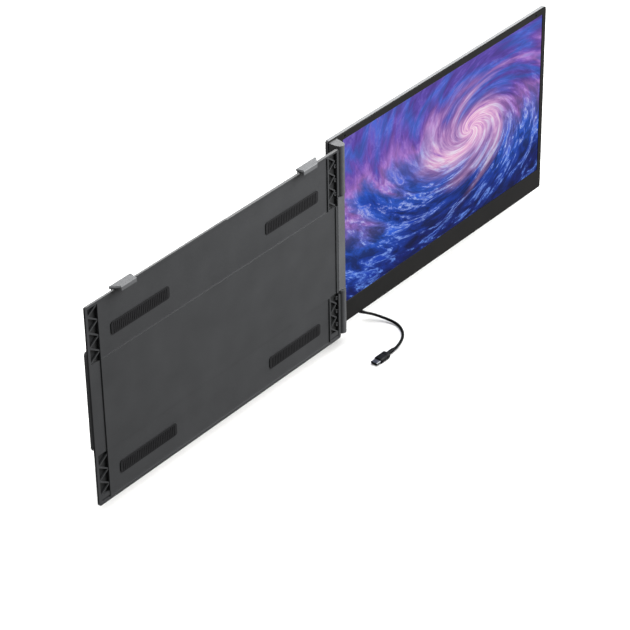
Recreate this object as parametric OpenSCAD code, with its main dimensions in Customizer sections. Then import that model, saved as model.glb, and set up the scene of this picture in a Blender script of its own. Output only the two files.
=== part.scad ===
// Laptop screen extender: a tray frame that a laptop lid rests on, two sprung
// clips over the lid's top edge, a fold-out stand behind, and a 15.6 inch
// screen on a friction hinge at the right side, with a captive lead and plug.
// X runs to the right, Y runs backwards, Z runs up. The origin is the middle
// of the frame's front face. All lengths are millimetres.

/* [Frame] */
// Width of the frame, edge to edge
frame_w = 365; // [320:1:400]
// Height of the frame
frame_h = 225; // [200:1:250]
// Depth of the tray, without its back cover
tray_t = 6.8; // [6:0.1:9]
// Thickness of the back cover
cover_t = 1.2; // [1:0.1:2]
// Thickness of the frame's visible edge, before the bevel
edge_t = 2.2; // [1.5:0.1:3]
// Width of the raised rim round the front
rim_w = 3; // [2:0.1:5]
// Radius of the frame's four corners
corner_r = 3; // [1:0.5:8]
// How far the right half of the top rail lies lower
rail_step = 1; // [0:0.1:2]

/* [Truss] */
// Width of the ribbed channels beside the rim
truss_w = 13; // [10:0.5:20]
// Length of one full zig-zag
truss_pitch = 17; // [12:0.5:25]
// Thickness of one rib
rib_t = 1.4; // [1:0.1:3]
// Depth of the channels
truss_deep = 3; // [2:0.1:4]

/* [Clips] */
// Distance from the frame's end to each clip's middle
clip_in = 49; // [40:0.5:70]
// Width of each clip at its back edge
clip_w = 30.4; // [24:0.2:40]
// Clear depth between the frame's face and the clip's lip
clip_gap = 4.9; // [4:0.1:8]
// Thickness of the clip's lip
lip_t = 2.1; // [1.8:0.1:3]
// Height of the clip's top above the frame's top
clip_rise = 5.4; // [5:0.1:9]
// How far a clip pulls out
clip_travel = 25; // [10:1:30]
// Width of the clip's arm
arm_w = 16; // [10:0.5:20]
// Bevel along the clip's top edges
clip_bevel = 1.1; // [0.5:0.1:1.3]

/* [Screen] */
// Width of the picture
view_w = 344.2; // [300:0.1:360]
// Height of the picture
view_h = 193.6; // [170:0.1:230]
// Thickness of the screen at its edge
screen_t = 5; // [4:0.1:8]
// Border left of the picture
side_l = 22.2; // [10:0.1:30]
// Border right of the picture
side_r = 6.9; // [4:0.1:12]
// Border above the picture
side_t = 7.9; // [4:0.1:12]
// Border below the picture
side_b = 24.9; // [8:0.1:30]
// Radius of the screen's corners
screen_r = 2.5; // [1.5:0.1:6]
// Thickness of the black front border
bezel_t = 1.2; // [0.6:0.1:1.6]
// Depth of the thicker part behind the screen
hump_t = 3.6; // [2:0.1:6]
// Height of the thicker part
hump_h = 90; // [60:1:110]
// Distance from the screen's left edge to the thicker part
hump_left = 78.5; // [60:0.5:100]
// Distance from the thicker part to the screen's right edge
hump_right = 78.8; // [60:0.5:100]

/* [Hinge] */
// Hinge axis, distance outside the frame's right edge
axis_out = 6.3; // [6:0.1:9]
// Hinge axis, distance behind the frame's face
axis_y = 3.8; // [3:0.1:6]
// Radius of the column's round nose
nose_r = 4.9; // [4.5:0.1:6]
// Radius of the hinge pins
pin_r = 2; // [1.5:0.1:2.5]
// Gap round the pins
pin_fit = 0.05; // [0.02:0.01:0.1]

/* [Stand] */
// Length of the fold-out stand, from hinge to free edge
stand_l = 110; // [80:1:120]
// Thickness of the stand
stand_t = 4; // [3:0.1:5]
// Radius of the stand's free corners
stand_corner = 6; // [3:0.5:10]

/* [Lead] */
// Diameter of the lead
lead_d = 3; // [2.5:0.1:4]

/* [Hidden] */
$fn = 48;

// gap left between parts that slide past each other
slide_gap = 0.4;
half_w = frame_w / 2;
half_h = frame_h / 2;
frame_t = tray_t + cover_t;
// bevel run at the left, top and bottom, and at the right
bevel = 7;
bevel_r = 3.2;
// the frame's right edge steps in beside the hinge block
jog = 2.5;
jog_h = half_h - 55.5;
// smooth band between the ribbed channels
band_lo = -half_h + 57;
band_hi = half_h - 65;
channel_lo = -half_h + 10;
step_x = 13;
// inner rail beside each ribbed channel
rail_x = half_w - rim_w - truss_w;
rail_w = 1.6;
field_deep = 1.2;
floor_back = 4;

// hinge
axis_x = half_w + axis_out;
knuckle_lo = band_lo;
knuckle_hi = half_h - 57.5;
knuckle_x = half_w - 1.1;
knuckle_y = 0.7;
column_lo = knuckle_hi + 2.2;
column_hi = half_h + 1;
low_hi = knuckle_lo - 1.6;
low_lo = -half_h + 3;
cap_t = 1.4;
// width of the column where it meets the screen
column_foot = 12;
washer_up = 1.8;
washer_low = 1.2;
sleeve_r = 3;
// each pin sits this deep in the hinge block
pin_in = 27;
pin_out = half_h - 8.5;
leaf_t = 1.6;
leaf_x1 = half_w - 3.3;
leaf_x0 = leaf_x1 - 18.2;
leaf_h = half_h - 12.5;
leaf_tab = knuckle_hi - 5;
leaf_screw_x = leaf_x1 - 1.4;
leaf_screw_z = [half_h - 50.5, half_h - 34.5, half_h - 18.5];
knuckle_screw_x = knuckle_x + 2.4;
knuckle_screw_z = [-36, 0, 36];

// screen
screen_y = 13;
screen_x0 = axis_x - 5.3;
screen_x1 = screen_x0 + side_l + view_w + side_r;
screen_z0 = -half_h + 1;
screen_z1 = screen_z0 + side_b + view_h + side_t;
view_x0 = screen_x0 + side_l;
view_z0 = screen_z0 + side_b;
panel_t = 1.2;
light_t = 1.7;
shell_y = screen_y + bezel_t;
screen_back = screen_y + screen_t;
panel_edge = 2;
hump_x0 = screen_x0 + hump_left;
hump_x1 = screen_x1 - hump_right;
hump_mid = (hump_x0 + hump_x1) / 2;
hump_z0 = screen_z0 + 13.5;
hump_z1 = hump_z0 + hump_h;
hump_back = screen_back + hump_t;
hump_wall = 1;
// driver board inside the thicker part, with its chips and connectors
board_w = hump_x1 - hump_x0 - 43.5;
board_h = 46;
board_low = 16;
board_t = 1.2;
chip_t = 1;
plug_case_t = 1.4;
column_screw_x = axis_x + 0.7;
column_screw_z = [low_lo + 9.5, low_hi - 8.9, column_lo + 8.8,
    min(column_hi - cap_t, screen_z1) - 9];
shell_screw_at = [[screen_x0 + 46.5, screen_z0 + 11.5], [hump_mid, screen_z0 + 7.5],
    [screen_x1 - 46.8, screen_z0 + 11.5], [screen_x0 + 10.5, -20], [screen_x0 + 10.5, 40]];
bumper_at = [view_x0 + 3.1, view_x0 + view_w - 11.9];
bumper_z = screen_z1 - side_t / 2;

// clips
clip_x = half_w - clip_in;
clip_top = half_h + clip_rise;
roof_t = 2;
lip_y = -clip_gap;
clip_front = lip_y - lip_t;
clip_back = 2;
pad_t = 0.5;
arm_y = 4.8;
arm_t = 1.6;
arm_lo = half_h - 52.5;
neck_z = half_h - 1;
guide_lo = arm_lo + 1;
guide_hi = half_h - 6.5;
guide_wall = 2.2;
guide_x = arm_w / 2 + slide_gap + guide_wall;
spring_lo = arm_lo - 34;
spring_r = 1;
wire_r = 0.22;
spring_turns = 12;
spring_y = 5.4;

// stand
stand_y = 8.5;
stand_x = half_w - 6.5;
stand_axis_y = 10.6;
stand_axis_z = band_lo + 3;
barrel_r = 2.2;
stand_pin_r = 1.2;
bracket_x = stand_x - 26;
bracket_w = 12;
pin_long = 18;
stand_top = stand_axis_z + stand_l;
foot_x = 70;

// rest pads, measured in from the frame's ends
pad_far = 112.5;
pad_near = 32.5;
pad_h = 14;

// lightening pockets of the tray's back, four wide and three high
pocket_in = clip_x - 15.5;
pocket_gap = 4;
pocket_w = (2 * pocket_in - 3 * pocket_gap) / 4;
pocket_rows = [[-half_h + 8.5, band_lo - 2.5], [band_lo + 3.5, band_hi + 4.5],
    [band_hi + 10.5, half_h - 8.5]];

// cover screws, on the ribs between the pockets
cover_screw_z = [-half_h + 17.5, band_lo + 0.5, band_hi + 7.5, half_h - 17.5];
cover_screw_at = concat(
    [for (z = cover_screw_z) [-clip_x - 12.5, z]],
    [for (z = cover_screw_z) [clip_x + 18.5, z]],
    [for (x = [-1, 1]) for (i = [1, 2]) [x * (pocket_w + pocket_gap), cover_screw_z[i]]]);

// elbow of the strain relief under the screen's bottom edge, and its heading
elbow_at = [screen_x0 + 51, screen_y + 2.6, screen_z0 - 2.2];
elbow_run = [0.96, -1.2, -0.45];
// lead route from the elbow's end to the plug, measured from the exit
exit_at = elbow_at + 2.8 * elbow_run;
route_from_exit = [[0, 0, 0], elbow_run, 2 * elbow_run, [4, -4.8, -1.7],
    [6.5, -7.9, -2.9], [8.9, -11.6, -4.3], [11, -15.7, -5.7], [12.8, -20.1, -6.9],
    [13.9, -24.8, -7.8], [14.2, -29.6, -8.5], [13.4, -34.4, -9], [11.4, -38.9, -9.3],
    [8.6, -43.1, -9.5], [5.1, -46.8, -9.5], [1.1, -50, -9.4], [-3.4, -52.7, -9.2],
    [-8.2, -55, -8.9], [-13, -56.8, -8.6], [-17.3, -58.1, -8.3], [-20.6, -58.8, -8.2],
    [-23, -59.1, -8.2], [-24.9, -59.1, -8.2], [-26.7, -59.1, -8.2]];
route = [for (p = route_from_exit) p + exit_at];
plug_end = route[len(route) - 1];
plug_y = plug_end[1];
plug_z = plug_end[2];
plug_x3 = plug_end[0];
plug_x2 = plug_x3 - 10.2;
plug_x1 = plug_x2 - 15.5;
plug_x0 = plug_x1 - 6.5;
plug_w = 10;
plug_h = 5.6;

// ---- small helpers ----

module box(x0, x1, y0, y1, z0, z1)
    translate([x0, y0, z0])
        cube([x1 - x0, y1 - y0, z1 - z0]);

// an outline drawn as seen from the front, with its thickness running back
module plate(y0, y1)
    translate([0, y1, 0])
        rotate([90, 0, 0])
            linear_extrude(y1 - y0)
                children();

// an outline drawn as seen from the right, with its length running along X
module bar(x0, x1)
    translate([x0, 0, 0])
        rotate([90, 0, 90])
            linear_extrude(x1 - x0)
                children();

module post(z0, z1)
    translate([0, 0, z0])
        linear_extrude(z1 - z0)
            children();

module rod_y(x, z, r, y0, y1)
    translate([x, y1, z])
        rotate([90, 0, 0])
            cylinder(h = y1 - y0, r = r);

module rod_x(y, z, r, x0, x1)
    translate([x0, y, z])
        rotate([0, 90, 0])
            cylinder(h = x1 - x0, r = r);

module rounded(x0, x1, z0, z1, r) {
    translate([x0 + r, z0])
        square([x1 - x0 - 2 * r, z1 - z0]);
    translate([x0, z0 + r])
        square([x1 - x0, z1 - z0 - 2 * r]);
    for (x = [x0 + r, x1 - r])
        for (z = [z0 + r, z1 - r])
            translate([x, z])
                circle(r = r);
}

module both_sides() {
    children();
    mirror([1, 0, 0])
        children();
}

// one straight rib between two points of the front
module strut(x0, z0, x1, z1, w, y0, y1) {
    long = norm([x1 - x0, z1 - z0]);
    turn = atan2(z1 - z0, x1 - x0);
    translate([x0, y1, z0])
        rotate([0, -turn, 0])
            translate([0, y0 - y1, -w / 2])
                cube([long, y1 - y0, w]);
}

// ---- sweeps for the lead and the springs ----

function unit(v) = v / norm(v);
function across(t, n) = unit(n - (n * t) * t);
function blend4(a, b, c, d, t) =
    0.5 * ((2 * b) + (c - a) * t + (2 * a - 5 * b + 4 * c - d) * t * t
        + (3 * b - a - 3 * c + d) * t * t * t);
function smooth(p, n) = [
    for (i = [0:len(p) - 2])
        for (k = [0:n - 1])
            blend4(p[max(i - 1, 0)], p[i], p[i + 1], p[min(i + 2, len(p) - 1)], k / n),
    p[len(p) - 1]];
function headings(p) = [
    for (i = [0:len(p) - 1])
        unit(p[min(i + 1, len(p) - 1)] - p[max(i - 1, 0)])];

module sweep(path, r, sides, start) {
    t = headings(path);
    last = len(path) - 1;
    n = [for (i = 0, v = across(t[0], start); i <= last;
        i = i + 1, v = i <= last ? across(t[i], v) : v) v];
    pts = [for (i = [0:last])
        for (k = [0:sides - 1])
            path[i] + r * (cos(360 * k / sides) * n[i]
                + sin(360 * k / sides) * cross(t[i], n[i]))];
    walls = [for (i = [0:last - 1])
        for (k = [0:sides - 1])
            let (a = i * sides + k, b = i * sides + (k + 1) % sides)
                for (f = [[a, a + sides, b], [b, a + sides, b + sides]]) f];
    first_cap = [for (k = [0:sides - 1]) k];
    last_cap = [for (k = [sides - 1:-1:0]) last * sides + k];
    polyhedron(points = pts, faces = concat(walls, [first_cap, last_cap]));
}

// ---- frame ----

module jog_outline()
    polygon([[half_w - jog, -jog_h], [half_w + 1, -jog_h - jog - 1],
        [half_w + 1, jog_h + jog + 1], [half_w - jog, jog_h]]);

// one ribbed channel, from z0 to z1, with its zig-zag left standing
module truss_ribs(x0, x1, z0, z1) {
    half = truss_pitch / 2;
    count = floor((z1 - z0) / half);
    for (i = [0:count - 1])
        strut(i % 2 == 0 ? x0 : x1, z0 + i * half, i % 2 == 0 ? x1 : x0,
            z0 + (i + 1) * half, rib_t, 0.6, truss_deep + 0.2);
}

module tray_body() {
    difference() {
        plate(0, tray_t)
            difference() {
                rounded(-half_w, half_w, -half_h, half_h, corner_r);
                jog_outline();
                translate([step_x, half_h - rail_step])
                    square([half_w, rail_step + 1]);
            }
        // bevels behind the edge: left, right, top, bottom
        post(-half_h - 1, half_h + 1)
            polygon([[-half_w - 1, edge_t], [-half_w, edge_t],
                [-half_w + bevel, frame_t], [-half_w - 1, frame_t]]);
        post(-half_h - 1, half_h + 1)
            polygon([[half_w + 1, edge_t], [half_w, edge_t],
                [half_w - bevel_r, frame_t], [half_w + 1, frame_t]]);
        post(-jog_h - 1, jog_h + 1)
            polygon([[half_w, edge_t], [half_w - jog, edge_t],
                [half_w - jog - bevel_r, frame_t], [half_w, frame_t]]);
        bar(-half_w - 1, half_w + 1)
            polygon([[edge_t, half_h], [frame_t, half_h - bevel],
                [frame_t, half_h + 1], [edge_t, half_h + 1]]);
        bar(-half_w - 1, half_w + 1)
            polygon([[edge_t, -half_h], [frame_t, -half_h + bevel],
                [frame_t, -half_h - 1], [edge_t, -half_h - 1]]);
    }
}

// hollows of the tray's front
module front_hollows() {
    x_in = half_w - rim_w;
    z_in = half_h - rim_w;
    // ribbed channels above and below the band, left and right
    both_sides() {
        box(rail_x, x_in, -1, truss_deep, band_hi, z_in);
        box(rail_x, x_in, -1, truss_deep, channel_lo, band_lo);
    }
    // the band is stepped down beside the channels
    box(-x_in, -rail_x, -1, 1, band_lo - 0.01, band_hi + 0.01);
    box(rail_x, x_in - jog, -1, 1, band_lo - 0.01, band_hi + 0.01);
    // fields between the inner rails
    box(-rail_x + rail_w, rail_x - rail_w, -1, field_deep, band_hi, z_in);
    box(-rail_x + rail_w, rail_x - rail_w, -1, field_deep, -z_in, band_lo);
    // flat corners at the bottom with a slot along the rim
    both_sides() {
        box(rail_x, x_in, -1, 0.6, -z_in, channel_lo + 0.1);
        box(rail_x + 1, x_in - 1.5, -1, 2.6, -z_in + 0.6, -z_in + 2.2);
    }
}

// hollows of the tray's back, closed by the cover
module back_hollows() {
    // clip guides and the slots of their springs
    both_sides() {
        box(clip_x - guide_x, clip_x + guide_x, floor_back, frame_t + 1,
            arm_lo - slide_gap, half_h + 1);
        box(clip_x - 2, clip_x + 2, floor_back, frame_t + 1, spring_lo - 4, guide_lo);
    }
    // hinge leaf, and its way out to the hinge block
    box(leaf_x0 - 0.1, leaf_x1 + 0.1, floor_back, frame_t + 1, -leaf_h - 0.1, leaf_h + 0.1);
    box(leaf_x1, half_w + 1, floor_back, floor_back + leaf_t + 0.1,
        -leaf_tab - 0.1, leaf_tab + 0.1);
    // lightening pockets with ribs between them
    for (z = pocket_rows) {
        for (i = [0:3]) {
            x = -pocket_in + i * (pocket_w + pocket_gap);
            box(x, x + pocket_w, floor_back, frame_t + 1, z[0], z[1]);
        }
        box(-half_w + 12.5, -clip_x - 16.5, floor_back, frame_t + 1, z[0], z[1]);
    }
}

module frame_tray() color([0.36, 0.37, 0.39]) {
    x_in = half_w - rim_w;
    difference() {
        union() {
            difference() {
                tray_body();
                front_hollows();
            }
            truss_ribs(-x_in - 0.2, -rail_x + 0.2, band_hi + 2, half_h - 2.5);
            truss_ribs(-x_in - 0.2, -rail_x + 0.2, channel_lo + 0.5, band_lo);
            truss_ribs(x_in - 2.8, rail_x - 0.2, band_hi + 2, half_h - 2.5);
            truss_ribs(x_in - 2.8, rail_x - 0.2, channel_lo + 0.5, band_lo);
            // ring bosses for the six hinge screws
            for (s = [-1, 1])
                for (z = leaf_screw_z)
                    rod_y(leaf_screw_x, s * z, 2, 0.8, truss_deep + 0.2);
        }
        back_hollows();
        for (s = [-1, 1])
            for (z = leaf_screw_z) {
                rod_y(leaf_screw_x, s * z, 1.35, 0, 2);
                rod_y(leaf_screw_x, s * z, 0.8, 1, floor_back + 1);
            }
        for (p = cover_screw_at)
            rod_y(p[0], p[1], 0.9, 4.2, tray_t + 1);
    }
}

module cover_outline()
    difference() {
        rounded(-half_w + bevel, half_w - 3.5, -half_h + bevel, half_h - bevel, 2);
        translate([half_w - bevel_r - jog - 0.3, -jog_h - 2.5])
            square([10, 2 * jog_h + 5]);
    }

module back_cover() color([0.33, 0.34, 0.36])
    difference() {
        plate(tray_t, frame_t)
            cover_outline();
        for (p = cover_screw_at) {
            rod_y(p[0], p[1], 0.9, tray_t - 1, frame_t);
            rod_y(p[0], p[1], 1.7, frame_t - 0.7, frame_t + 1);
        }
    }

module cover_screws() color([0.2, 0.2, 0.21])
    for (p = cover_screw_at)
        difference() {
            union() {
                rod_y(p[0], p[1], 0.9, 4.4, frame_t - 0.5);
                rod_y(p[0], p[1], 1.7, frame_t - 0.7, frame_t);
            }
            box(p[0] - 1.2, p[0] + 1.2, frame_t - 0.35, frame_t + 1, p[1] - 0.2, p[1] + 0.2);
            box(p[0] - 0.2, p[0] + 0.2, frame_t - 0.35, frame_t + 1, p[1] - 1.2, p[1] + 1.2);
        }

// four silicone strips that the lid rests on, level with the band
module rest_pads() color([0.16, 0.16, 0.17])
    both_sides()
        for (z = [band_hi + 18.5, -half_h + 20.5])
            plate(0, field_deep)
                rounded(half_w - pad_far, half_w - pad_near, z, z + pad_h, 3);

module clip_guides() color([0.12, 0.12, 0.13])
    both_sides()
        difference() {
            box(clip_x - guide_x, clip_x + guide_x, floor_back, tray_t, guide_lo, guide_hi);
            box(clip_x - arm_w / 2 - slide_gap, clip_x + arm_w / 2 + slide_gap,
                arm_y - 0.3, tray_t + 1, guide_lo - 1, guide_hi + 1);
        }

// hooks that hold the fixed ends of the clip springs
module spring_posts() color([0.62, 0.63, 0.65])
    both_sides()
        box(clip_x - 2, clip_x + 2, floor_back, tray_t, spring_lo - 3, spring_lo);

// ---- clips ----

module clip_outline() {
    inner = clip_x - clip_w / 2;
    outer = clip_x + clip_w / 2;
    cut = clip_back - 1.2 - (clip_front + 0.5);
    polygon([[inner + 0.6, clip_back], [outer - 0.6, clip_back], [outer, clip_back - 0.6],
        [outer, clip_back - 1.2], [outer - cut, clip_front + 0.5],
        [outer - cut - 0.8, clip_front], [inner + 2.1, clip_front],
        [inner + 1.5, clip_front + 0.6], [inner, clip_back - 0.6]]);
}

// bevels a top edge that passes through (x, y) and faces the way it is turned
module clip_edge_cut(x, y, turn)
    translate([x, y, clip_top - clip_bevel])
        rotate([45, 0, turn])
            translate([-clip_w, -5, 0])
                cube([2 * clip_w, 10, 10]);

module clip_hook() {
    difference() {
        post(clip_top - roof_t, clip_top)
            clip_outline();
        clip_edge_cut(clip_x, clip_front, 0);
        clip_edge_cut(clip_x + clip_w / 2, clip_back - 1.2, 45);
        clip_edge_cut(clip_x - clip_w / 2, clip_back - 0.6, -78);
    }
    intersection() {
        post(half_h + 0.5, clip_top - roof_t + 0.1)
            clip_outline();
        box(clip_x - clip_w, clip_x + clip_w, clip_front, lip_y, half_h, clip_top);
    }
    bar(clip_x - arm_w / 2, clip_x + arm_w / 2)
        polygon([[0.4, clip_top - roof_t + 0.3], [clip_back, clip_top - roof_t + 0.3],
            [clip_back, clip_top - roof_t], [arm_y + arm_t, neck_z],
            [arm_y + arm_t, arm_lo], [arm_y, arm_lo], [arm_y, neck_z],
            [0.4, clip_top - roof_t]]);
}

module clip_left() color([0.42, 0.43, 0.45])
    mirror([1, 0, 0])
        clip_hook();

module clip_right() color([0.42, 0.43, 0.45])
    clip_hook();

// soft lining behind the lip and under the roof
module clip_lining() {
    box(clip_x - 12.5, clip_x + 7.5, lip_y, lip_y + pad_t, half_h + 0.7, clip_top - roof_t);
    box(clip_x - 12.5, clip_x + 7.5, lip_y + pad_t, -0.3, clip_top - roof_t - 0.4,
        clip_top - roof_t);
}

module clip_pad_left() color([0.1, 0.1, 0.11])
    mirror([1, 0, 0])
        clip_lining();

module clip_pad_right() color([0.1, 0.1, 0.11])
    clip_lining();

module clip_spring() {
    steps = 8;
    rings = spring_turns * steps;
    long = arm_lo - spring_lo - 2 * wire_r;
    path = [for (i = [0:rings])
        [spring_r * cos(360 * i / steps), spring_r * sin(360 * i / steps),
            spring_lo + wire_r + long * i / rings]];
    translate([clip_x, spring_y, 0])
        sweep(path, wire_r, 6, [1, 0, 0]);
}

module clip_spring_left() color([0.7, 0.71, 0.73])
    mirror([1, 0, 0])
        clip_spring();

module clip_spring_right() color([0.7, 0.71, 0.73])
    clip_spring();

// ---- hinge, frame side ----

module hinge_leaf() color([0.55, 0.56, 0.58])
    difference() {
        union() {
            box(leaf_x0, leaf_x1, floor_back, floor_back + leaf_t, -leaf_h, leaf_h);
            box(leaf_x1 - 1, axis_x - pin_r - 0.6, floor_back, floor_back + leaf_t,
                -leaf_tab, leaf_tab);
        }
        for (s = [-1, 1])
            for (z = leaf_screw_z)
                rod_y(leaf_screw_x, s * z, 0.8, floor_back - 1, floor_back + leaf_t + 1);
        for (z = knuckle_screw_z)
            rod_y(knuckle_screw_x, z, 0.9, floor_back - 1, floor_back + leaf_t + 1);
    }

module leaf_screws() color([0.16, 0.16, 0.17])
    for (s = [-1, 1])
        for (z = leaf_screw_z)
            difference() {
                union() {
                    rod_y(leaf_screw_x, s * z, 1.3, 1.2, 2);
                    rod_y(leaf_screw_x, s * z, 0.8, 1.9, floor_back + leaf_t - 0.1);
                }
                rod_y(leaf_screw_x, s * z, 0.55, 0.5, 1.7, $fn = 6);
            }

// hinge block between the two columns
module hinge_knuckle() color([0.4, 0.41, 0.43])
    difference() {
        union() {
            box(knuckle_x, axis_x, knuckle_y, frame_t, knuckle_lo, knuckle_hi);
            intersection() {
                translate([axis_x, axis_y, knuckle_lo])
                    cylinder(h = knuckle_hi - knuckle_lo, r = 4.4);
                box(axis_x - 1, axis_x + 6, knuckle_y, frame_t, knuckle_lo, knuckle_hi);
            }
        }
        // bevel along the top front edge
        bar(knuckle_x - 1, axis_x + 6)
            polygon([[knuckle_y - 1, knuckle_hi - 1], [knuckle_y + 1, knuckle_hi + 1],
                [knuckle_y - 1, knuckle_hi + 1]]);
        // blind bores for the two pins
        for (z = [knuckle_lo - 1, knuckle_hi - pin_in])
            translate([axis_x, axis_y, z])
                cylinder(h = pin_in + 1, r = pin_r);
        // slot for the leaf, and three screws through it
        box(knuckle_x - 1, axis_x - pin_r - 0.6, floor_back, floor_back + leaf_t,
            -leaf_tab, leaf_tab);
        for (z = knuckle_screw_z) {
            rod_y(knuckle_screw_x, z, 0.9, 2.4, frame_t);
            rod_y(knuckle_screw_x, z, 1.6, frame_t - 1, frame_t + 1);
        }
    }

module knuckle_screws() color([0.2, 0.2, 0.21])
    for (z = knuckle_screw_z)
        difference() {
            union() {
                rod_y(knuckle_screw_x, z, 0.9, 2.6, frame_t - 0.5);
                rod_y(knuckle_screw_x, z, 1.6, frame_t - 1, frame_t);
            }
            rod_y(knuckle_screw_x, z, 0.7, frame_t - 0.5, frame_t + 1, $fn = 6);
        }

module hinge_pins() color([0.7, 0.71, 0.73])
    for (z = [[-pin_out, knuckle_lo + pin_in], [knuckle_hi - pin_in, pin_out]])
        translate([axis_x, axis_y, z[0]])
            cylinder(h = z[1] - z[0], r = pin_r);

module hinge_washers() color([0.5, 0.5, 0.52]) {
    post(knuckle_hi, knuckle_hi + washer_up)
        translate([axis_x, axis_y])
            difference() {
                circle(r = 3.7);
                circle(r = pin_r);
            }
    post(knuckle_lo - washer_low, knuckle_lo)
        translate([axis_x, axis_y])
            difference() {
                circle(r = 3.7);
                circle(r = pin_r);
            }
}

// ---- stand ----

module stand_brackets() color([0.33, 0.34, 0.36])
    both_sides()
        difference() {
            union() {
                bar(bracket_x - bracket_w / 2, bracket_x + bracket_w / 2)
                    polygon([[frame_t, stand_axis_z - 3], [stand_axis_y, stand_axis_z - barrel_r],
                        [stand_axis_y, stand_axis_z + barrel_r], [frame_t, stand_axis_z + 3]]);
                rod_x(stand_axis_y, stand_axis_z, barrel_r,
                    bracket_x - bracket_w / 2, bracket_x + bracket_w / 2);
            }
            rod_x(stand_axis_y, stand_axis_z, stand_pin_r, 0, frame_w);
        }

module stand_pins() color([0.7, 0.71, 0.73])
    both_sides()
        rod_x(stand_axis_y, stand_axis_z, stand_pin_r,
            bracket_x - pin_long, bracket_x + pin_long);

module stand_plate() color([0.3, 0.31, 0.33])
    difference() {
        union() {
            difference() {
                plate(stand_y, stand_y + stand_t)
                    union() {
                        rounded(-stand_x, stand_x, stand_top - 3 * stand_corner, stand_top,
                            stand_corner);
                        translate([-stand_x, stand_axis_z])
                            square([2 * stand_x, stand_l - 1.5 * stand_corner]);
                    }
                // the free edge and the hinge edge are bevelled on the outside
                bar(-stand_x - 1, stand_x + 1)
                    polygon([[stand_y + 1.6, stand_top + 1], [stand_y + 5, stand_top - 3.4],
                        [stand_y + 5, stand_top + 1]]);
                // pocket in the inner face
                box(-stand_x + 15.5, stand_x - 15.5, stand_y - 1, stand_y + 2.2,
                    stand_axis_z + 16, stand_top - 14);
            }
            rod_x(stand_axis_y, stand_axis_z, barrel_r, -stand_x, stand_x);
        }
        // square corner below the barrel
        bar(-stand_x - 1, stand_x + 1)
            polygon([[stand_y - 1, stand_axis_z - 3], [stand_y - 1, stand_axis_z + 2.2],
                [stand_y + 0.1, stand_axis_z + 0.9], [stand_y + 0.1, stand_axis_z - 3]]);
        // room for the brackets
        both_sides()
            box(bracket_x - bracket_w / 2 - slide_gap, bracket_x + bracket_w / 2 + slide_gap,
                stand_y - 1, stand_y + stand_t + 1, stand_axis_z - 4, stand_axis_z + 5);
        rod_x(stand_axis_y, stand_axis_z, stand_pin_r + pin_fit,
            -bracket_x - pin_long - 0.5, bracket_x + pin_long + 0.5);
        // notch for the foot strip
        box(-foot_x - 0.1, foot_x + 0.1, stand_y - 1, stand_y + 2.5, stand_top - 5, stand_top + 1);
    }

module stand_foot() color([0.08, 0.08, 0.08])
    box(-foot_x, foot_x, stand_y, stand_y + 2.5, stand_top - 5, stand_top);

// ---- hinge, screen side ----

module column_outline() {
    translate([axis_x, axis_y])
        circle(r = nose_r);
    polygon([[screen_x0, screen_y], [screen_x0, axis_y + 1.4], [axis_x - 4.8, axis_y - 0.9],
        [axis_x + 4.8, axis_y + 0.5], [screen_x0 + column_foot, screen_y]]);
}

module column(z0, z1, bore0, bore1, screws)
    difference() {
        post(z0, z1)
            column_outline();
        translate([axis_x, axis_y, bore0])
            cylinder(h = bore1 - bore0, r = sleeve_r);
        for (z = screws)
            rod_y(column_screw_x, z, 1, 8, screen_y + 1);
    }

module column_upper() color([0.36, 0.37, 0.39])
    column(column_lo, column_hi - cap_t, column_lo - 1, pin_out + 2,
        [column_screw_z[2], column_screw_z[3]]);

module column_lower() color([0.36, 0.37, 0.39])
    column(low_lo + cap_t, low_hi, -pin_out - 2, low_hi + 1,
        [column_screw_z[0], column_screw_z[1]]);

module column_caps() color([0.45, 0.46, 0.48]) {
    post(column_hi - cap_t, column_hi)
        column_outline();
    post(low_lo, low_lo + cap_t)
        column_outline();
}

module hinge_sleeves() color([0.72, 0.6, 0.35])
    for (z = [[column_lo, pin_out + 2], [-pin_out - 2, low_hi]])
        post(z[0], z[1])
            translate([axis_x, axis_y])
                difference() {
                    circle(r = sleeve_r);
                    circle(r = pin_r + pin_fit);
                }

module column_screws() color([0.2, 0.2, 0.21])
    for (z = column_screw_z)
        difference() {
            union() {
                rod_y(column_screw_x, z, 1, 8.2, screen_back - 0.8);
                rod_y(column_screw_x, z, 1.9, screen_back - 1.2, screen_back - 0.2);
            }
            rod_y(column_screw_x, z, 0.8, screen_back - 0.9, screen_back, $fn = 6);
        }

// ---- screen ----

module screen_outline()
    rounded(screen_x0, screen_x1, screen_z0, screen_z1, screen_r);

module screen_shell() color([0.72, 0.73, 0.75])
    difference() {
        union() {
            plate(shell_y, screen_back)
                screen_outline();
            plate(screen_back - 0.1, hump_back)
                rounded(hump_x0, hump_x1, hump_z0, hump_z1, 8);
        }
        // room for the picture panel and its light
        box(view_x0 - panel_edge - 0.2, view_x0 + view_w + panel_edge + 0.2, shell_y - 1,
            shell_y + panel_t + light_t, view_z0 - panel_edge - 0.2,
            view_z0 + view_h + panel_edge + 0.2);
        // room for the driver board
        box(hump_x0 + 6, hump_x1 - 6, shell_y + 1, hump_back - hump_wall,
            view_z0 + 2, hump_z1 - 6);
        // cooling slots
        for (i = [-6.5:6.5])
            box(hump_mid + i * 12 - 0.8, hump_mid + i * 12 + 0.8, hump_back - hump_wall - 1,
                hump_back + 1, hump_z1 - 24, hump_z1 - 10);
        for (z = column_screw_z) {
            rod_y(column_screw_x, z, 1, shell_y - 1, screen_back);
            rod_y(column_screw_x, z, 1.9, screen_back - 1.2, screen_back + 1);
        }
        for (p = shell_screw_at) {
            rod_y(p[0], p[1], 0.8, shell_y - 0.1, screen_back);
            rod_y(p[0], p[1], 1.7, screen_back - 1, screen_back + 1);
        }
    }

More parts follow.
